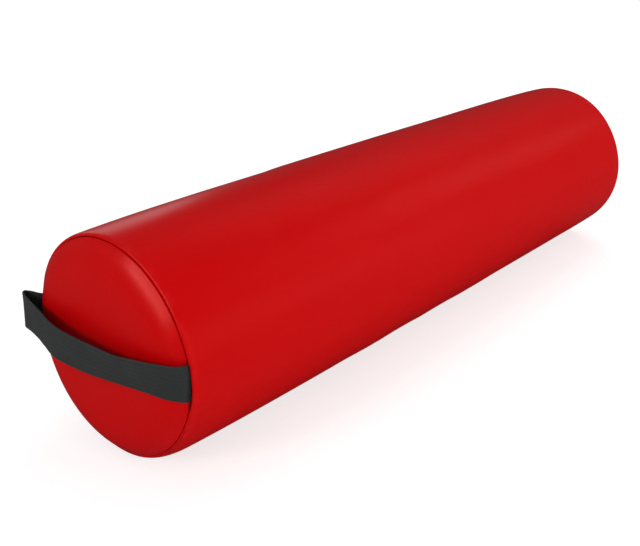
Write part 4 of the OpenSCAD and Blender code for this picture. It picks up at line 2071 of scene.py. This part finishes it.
    def build_stitches(self, side: Side, cover: Cover, finishes: Finishes) -> None:
        """Sews the cover to one tape, with a bar of stitches across each end of the opening.

        Args:
            side: which side of the chain it is on.
            cover: the cover, whose edge the stitches follow.
            finishes: the materials.
        """
        node = f"zip_stitch_{side.label}"
        low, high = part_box(node)
        x = np.linspace(low.x, high.x, 160)
        across = side.value * (cover.zip_half(x) + self.stitch_in)
        angle = self.sizes.zip_angle - across / self.sizes.wrap_r
        swell = cover.undulation(x, angle) + cover.wave("wrap", (x / self.sizes.seam_x + 1) / 2, angle)
        radius = cover.face_radius(x, angle) + swell - 0.02 * MM
        rows = [self.place(x, across, radius)]
        for i in (0, -1):
            rows.append(self.place(x[i], np.linspace(0.0, across[i], 8), radius[0] + 0.1 * MM))
        outs = []
        for row in rows:
            out = row - np.array(self.sizes.on_axis(0.0))
            out[:, 0] = 0.0
            outs.append(out / np.linalg.norm(out, axis=1, keepdims=True))
        thread = Stitching(finishes.cover_thread, 3.4 * MM, 3.0 * MM, 0.6 * MM, 0.2 * MM)
        made = thread.sew(node + "_row", rows, outs)
        finish_piece(made, finishes.cover_thread, Body.COVER, node)

    def build_metal(self, node: str, body: Body, finishes: Finishes) -> None:
        """Rounds the edges of one metal piece and plates it.

        Args:
            node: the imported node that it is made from.
            body: the body that it rides on.
            finishes: the materials.
        """
        made = frame["nodes"][node].copy()
        made.data = made.data.copy()
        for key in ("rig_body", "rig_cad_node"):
            if key in made:
                del made[key]
        made.parent = None
        made.name = node + "_plated"
        bpy.context.scene.collection.objects.link(made)
        work = bmesh.new()
        work.from_mesh(made.data)
        bmesh.ops.remove_doubles(work, verts=work.verts, dist=0.002 * MM)
        bmesh.ops.dissolve_limit(work, angle_limit=math.radians(4), verts=work.verts, edges=work.edges)
        sharp = [e for e in work.edges if e.is_manifold and e.calc_face_angle(0.0) > math.radians(35)]
        rounding = {"offset": 0.14 * MM, "segments": 2, "profile": 0.6, "clamp_overlap": True}
        bmesh.ops.bevel(work, geom=sharp, affect="EDGES", **rounding)
        for face in work.faces:
            face.smooth = True
        work.to_mesh(made.data)
        work.free()
        finish_piece(made, finishes.metal, body, node)

    def build(self, cover: Cover, finishes: Finishes) -> None:
        """Makes every piece of the zip."""
        for side in Side:
            self.build_tape(side, finishes)
            self.build_coil(side, finishes)
            self.build_stitches(side, cover, finishes)
        for node in ("zip_top_stops", "zip_bottom_stop"):
            self.build_metal(node, Body.COVER, finishes)
        for node in ("zip_slider_body", "zip_slider_crown"):
            self.build_metal(node, Body.SLIDER, finishes)
        self.build_metal("zip_pull_tab", Body.PULL, finishes)


# ---------- Studio ----------


@dataclass
class Studio:
    """A pale floor, soft light and the camera.

    Args:
        sizes: the driving sizes.
        yaw: how far the camera looks from +Y towards +X, in radians.
        pitch: how far it looks down, in radians.
        eye: the camera's place from the strap-end seam's centre, in wrap radii.
        focal: the lens's focal length in widths of the picture.
        shift: how far the picture is shifted, in widths.
        sky: how bright the room is.
        sky_gloss: how bright it looks in glossy surfaces.
        floor_glow: how strongly the floor shines.
        floor_bounce: how much light the floor sends back up.
        floor_half: half of the floor's width.
    """

    sizes: Sizes
    yaw: float = 0.8561
    pitch: float = 0.3399
    eye: tuple = (-3.8031, -5.4046, 3.3741)
    focal: float = 1.3912
    shift: tuple = (0.0167, -0.0833)
    sky: float = 0.58
    sky_gloss: float = 0.06
    floor_glow: float = 0.70
    floor_bounce: float = 0.82
    floor_half: float = 9.0

    def build_camera(self) -> None:
        """Places the camera."""
        data = bpy.data.cameras.new("camera")
        data.sensor_width = 36.0
        data.lens = self.focal * data.sensor_width
        data.shift_x, data.shift_y = self.shift
        data.clip_end = 50.0
        camera = link_object("camera", data)
        camera.location = self.sizes.on_axis(-self.sizes.seam_x) + Vector(self.eye) * self.sizes.wrap_r
        ahead = Vector((
            math.sin(self.yaw) * math.cos(self.pitch),
            math.cos(self.yaw) * math.cos(self.pitch),
            -math.sin(self.pitch),
        ))
        camera.rotation_mode = "QUATERNION"
        camera.rotation_quaternion = ahead.to_track_quat("-Z", "Y")
        bpy.context.scene.camera = camera

    def build_floor(self) -> None:
        """Lays a wide pale floor that glows a little where it is looked at, and is greyer as a reflector."""
        shader = Shader("pale_floor")
        tint = shader.mix(shader.noise(3.0, 2.0), (0.46, 0.46, 0.46), (0.48, 0.48, 0.48))
        shader.set(
            Base_Color=tint,
            Roughness=0.9,
            Specular_IOR_Level=0.0,
            Emission_Color=(1.0, 1.0, 1.0),
            Emission_Strength=self.floor_glow,
        )
        ray = shader.add("ShaderNodeLightPath")
        shade = shader.scaled(ray.outputs["Is Glossy Ray"], 0.0, 1.0, self.floor_bounce, self.sky_gloss)
        dim = shader.add("ShaderNodeBsdfDiffuse", {"Color": shader.mix(shade, (0, 0, 0), (1, 1, 1))})
        looks = {0: ray.outputs["Is Camera Ray"], 1: dim.outputs[0], 2: shader.surface.outputs[0]}
        either = shader.add("ShaderNodeMixShader", looks)
        shader.feed(shader.output.inputs["Surface"], either.outputs[0])
        corners = self.floor_half * np.array([[-1, -1, 0], [1, -1, 0], [1, 1, 0], [-1, 1, 0]])
        floor = new_object("studio_floor", corners, [(0, 1, 2, 3)], smooth=False)
        floor.data.materials.append(shader.material)

    def build_light(
        self,
        name: str,
        place: tuple,
        aim: Vector,
        size: tuple,
        power: float,
        highlight: bool = False,
        roll: float = 0.0,
    ) -> None:
        """Hangs one soft light.

        Args:
            name: the light's name.
            place: where it hangs.
            aim: the point that it faces.
            size: its width and height.
            power: its power in watts.
            highlight: whether it only draws a highlight, instead of only lighting.
            roll: how far it is turned about the line to its aim, in degrees.
        """
        data = bpy.data.lights.new(name, "AREA")
        data.shape = "RECTANGLE"
        data.size, data.size_y = size
        data.energy = power
        lamp = link_object(name, data)
        lamp.location = place
        ahead = aim - Vector(place)
        lamp.rotation_mode = "QUATERNION"
        lamp.rotation_quaternion = Quaternion(ahead, math.radians(roll)) @ ahead.to_track_quat("-Z", "Y")
        lamp.visible_glossy = highlight
        lamp.visible_diffuse = not highlight

    def build_sky(self) -> None:
        """Lights the room evenly, with a dimmer reflection than its light."""
        world = bpy.data.worlds.new("studio")
        world.use_nodes = True
        tree = NodeTree(world.node_tree)
        path = tree.add("ShaderNodeLightPath")
        shown = None
        for ray, strength in ((None, self.sky), ("Is Glossy Ray", self.sky_gloss), ("Is Camera Ray", 1.0)):
            plain = tree.add("ShaderNodeBackground", {"Color": (1.0, 1.0, 1.0), "Strength": strength})
            if ray is None:
                shown = plain.outputs[0]
                continue
            mix = tree.add("ShaderNodeMixShader", {0: path.outputs[ray], 1: shown, 2: plain.outputs[0]})
            shown = mix.outputs[0]
        tree.add("ShaderNodeOutputWorld", {"Surface": shown})
        world.cycles.sampling_method = "NONE"
        bpy.context.scene.world = world

    def build(self) -> None:
        """Makes the whole studio."""
        scene = bpy.context.scene
        scene.view_settings.view_transform = "Standard"
        scene.view_settings.look = "None"
        self.build_camera()
        self.build_floor()
        self.build_sky()
        strap_end, middle = self.sizes.on_axis(-self.sizes.seam_x), self.sizes.on_axis(0.0)
        self.build_light("front", (0.9, -2.4, 0.45), middle, (2.6, 1.1), 36.0)
        self.build_light("back", (2.0, 0.5, 1.9), middle, (1.6, 1.2), 18.0)
        self.build_light("end", (-2.4, 0.2, 1.05), strap_end, (0.6, 0.6), 17.0)
        self.build_light("crescent", (-2.27, -0.05, 1.26), strap_end, (0.22, 2.0), 55.0, True, -58.0)
        self.build_light("band", (2.4, -1.6, 1.7), middle, (2.0, 1.0), 3.0, True)
        self.build_light("sheen", (0.8, 2.3, 0.8), middle, (1.4, 0.8), 3.5, True)


def main() -> None:
    """Builds the bolster and its studio."""
    logging.basicConfig(level=logging.INFO, format="%(name)s: %(message)s")
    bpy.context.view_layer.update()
    sizes = Sizes.from_frame()
    finishes = Finishes()
    cover = Cover(sizes)
    Studio(sizes).build()
    StuffingPressure(cover).settle()
    cover.build(finishes)
    Stuffing(sizes).build(cover, finishes)
    handle = Handle(sizes)
    handle.build(finishes)
    handle.build_tacks(finishes)
    Seams(sizes).build(cover, finishes)
    Zip(sizes).build(cover, finishes)


if __name__ == "__main__":
    main()
